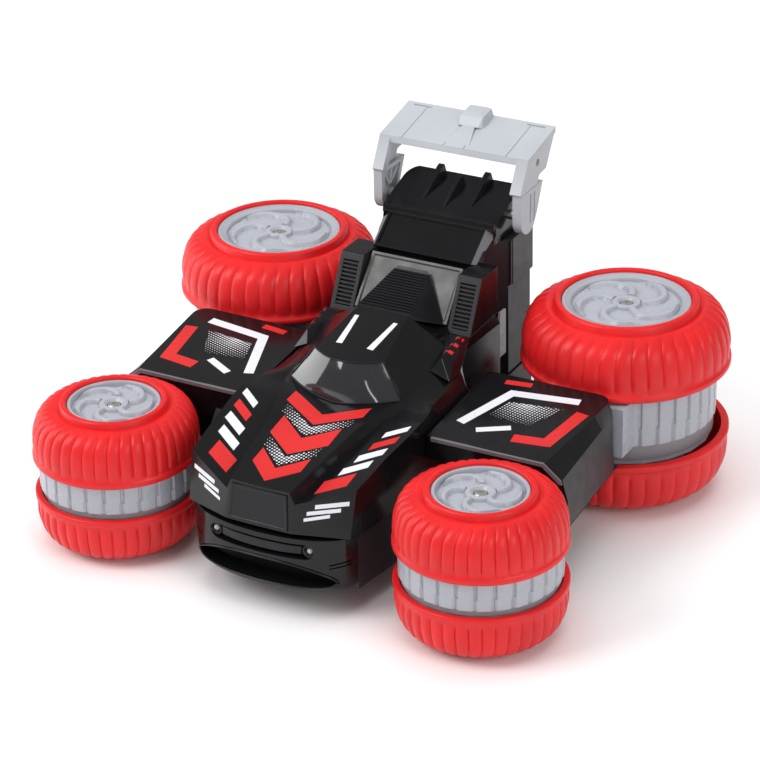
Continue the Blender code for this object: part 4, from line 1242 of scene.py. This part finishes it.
def build_side_prints(body):
    """Slanted bars along the fenders and over the lamps, and a stripe on each side of the roof."""
    fender = [(21.0, 33.0, -95.0, 9.0, "print_red"), (25.0, 36.0, -82.0, 5.0, "print_white"),
              (27.5, 38.0, -73.0, 5.0, "print_white"), (29.5, 39.0, -64.0, 5.0, "print_red"),
              (31.0, 40.0, -55.0, 4.0, "print_white")]
    lamp = [(24.0, 37.0, 51.0, 1.8), (21.0, 34.0, 48.2, 1.6), (20.0, 30.0, 45.6, 1.4)]
    roof = [(6.0, -21.0), (9.0, -21.0), (10.5, -1.0), (8.5, -1.0)]
    for side_name, side in SIDES:
        for index, (inner, outer, start, width, finish) in enumerate(fender):
            print_on(body, f"fender_bar_{index}_{side_name}", slanted(inner, outer, start, 6.0, width), finish, side)
        for index, (inner, outer, start, width) in enumerate(lamp):
            print_on(body, f"lamp_bar_{index}_{side_name}", slanted(inner, outer, start, 2.0, width), "print_white",
                     side, "Y")
        print_on(body, f"roof_stripe_{side_name}", roof, "print_white", side)


def build_wing_prints():
    """Bent white and red bands round a dotted panel on each wing."""
    bands = {
        "white_band": ([(52.0, -24.0), (62.0, 6.0), (92.0, 10.0)], 4.5, "print_white"),
        "white_bar": ([(61.0, -27.0), (74.0, -20.0)], 3.5, "print_white"),
        "red_band": ([(78.0, -27.0), (93.0, -25.0), (97.0, 2.0)], 6.0, "print_red"),
        "red_bar": ([(55.0, 13.5), (67.0, 15.0)], 3.5, "print_red"),
    }
    dotted = [(60.0, -14.0), (80.0, -16.0), (88.0, 2.0), (64.0, -1.0)]
    for side_name, side in SIDES:
        cover = bpy.data.objects[f"wing_cover_{side_name}"]
        for name, (path, width, finish) in bands.items():
            print_on(cover, f"wing_{name}_{side_name}", stripe(path, width), finish, side)
        print_on(cover, f"wing_dots_{side_name}", dotted, f"fade_{side_name}", side)


# ------------------------------------------------------------------ stage, light and camera

def build_stage():
    bpy.ops.mesh.primitive_plane_add(size=6.0, location=(0, 0, 0))
    floor = bpy.context.object
    floor.name = "floor"
    made, tree, shader, place = shader_nodes("pale_floor")
    tree.links.new(tinted(tree, (0.93, 0.93, 0.935), noise(tree, place, 3), 0.01), shader.inputs["Base Color"])
    shader.inputs["Roughness"].default_value = 0.55
    floor.data.materials.append(made)

    world = bpy.data.worlds.new("studio")
    bpy.context.scene.world = world
    world.use_nodes = True
    background = world.node_tree.nodes["Background"]
    background.inputs["Color"].default_value = (1.0, 1.0, 1.0, 1)
    background.inputs["Strength"].default_value = 0.32
    bpy.context.scene.view_settings.view_transform = "Standard"


def area_light(name, place, aim, size, power, mirrored_in_gloss=True):
    light = bpy.data.lights.new(name, "AREA")
    light.shape = "RECTANGLE"
    light.size, light.size_y = size
    light.energy = power
    lamp = bpy.data.objects.new(name, light)
    lamp.location = place
    lamp.rotation_euler = (Vector(aim) - Vector(place)).to_track_quat("-Z", "Y").to_euler()
    lamp.visible_glossy = mirrored_in_gloss
    bpy.context.scene.collection.objects.link(lamp)


def build_lights():
    area_light("key", (-0.8, -0.9, 1.2), (0, 0, 0.05), (0.8, 0.8), 13)
    area_light("side_panel", (-1.1, -0.25, 0.32), (0, -0.05, 0.1), (0.75, 0.55), 4)
    area_light("strip", (0.57, -1.32, 0.50), (0, 0, 0.1), (0.04, 0.7), 0.6)
    area_light("fill", (1.3, -0.5, 0.8), (0, 0, 0.05), (0.8, 0.8), 7)
    area_light("top", (0.0, 0.1, 1.6), (0, 0, 0), (1.6, 1.6), 17, False)
    area_light("back", (-0.3, 1.4, 0.9), (0, 0, 0.05), (1.2, 0.5), 5, False)


def build_camera():
    back = Vector((0.43226, -0.77787, 0.45616))
    roll = math.radians(-1.45)
    right = Vector((0.87411, 0.48574, 0.0))
    up = back.cross(right)
    camera = bpy.data.cameras.new("photo_view")
    camera.lens = 136.1
    camera.sensor_width = 36.0
    camera.clip_start = 0.05
    view = bpy.data.objects.new("photo_view", camera)
    right_rolled = right * math.cos(roll) + up * math.sin(roll)
    up_rolled = up * math.cos(roll) - right * math.sin(roll)
    axes = Matrix((right_rolled, up_rolled, back)).transposed()
    view.matrix_world = Matrix.Translation((0.54364, -0.97742, 0.63222)) @ axes.to_4x4()
    bpy.context.scene.collection.objects.link(view)
    bpy.context.scene.camera = view


NODE_FINISH = {
    "body_shell": "gloss_black", "chassis_tub": "satin_charcoal", "front_bumper": "gloss_black",
    "tail_cover": "gloss_black", "rear_tub": "satin_charcoal", "lamp_lens": "lens", "windshield": "smoked_clear", "roof_louver": "gloss_black", "rear_panel": "warm_grey",
    "side_louver": "satin_charcoal", "rear_tower": "satin_charcoal", "scoop_deck": "gloss_black",
    "battery_pack": "cell_blue", "battery_door": "satin_charcoal", "circuit_board": "board_green",
    "transform_motor": "steel", "drive_motor": "steel", "wing_upper": "gloss_black",
    "wing_lower": "satin_charcoal", "spoiler": "pale_grey", "power_switch": "pale_grey",
    "gearcase": "light_grey", "axle": "steel", "drive_gear": "pale_grey", "hub": "light_grey", "tyre": "tyre_red",
}


def finish_nodes():
    """Procedural finishes for the CAD nodes, found by the start of their names."""
    for node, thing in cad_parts.items():
        finish = next(value for start, value in NODE_FINISH.items() if node.startswith(start))
        thing.data.materials.clear()
        thing.data.materials.append(FINISH[finish])


build_stage()
build_lights()
build_camera()
finish_nodes()
build_pods()
painted_body = build_body()
build_windshield()
build_roof()
build_side_louvers()
build_scoops()
build_deck()
build_tower()
build_spoiler()
build_wings()
build_bumper()
build_underside()
build_hood_print(painted_body)
build_side_prints(painted_body)
build_wing_prints()
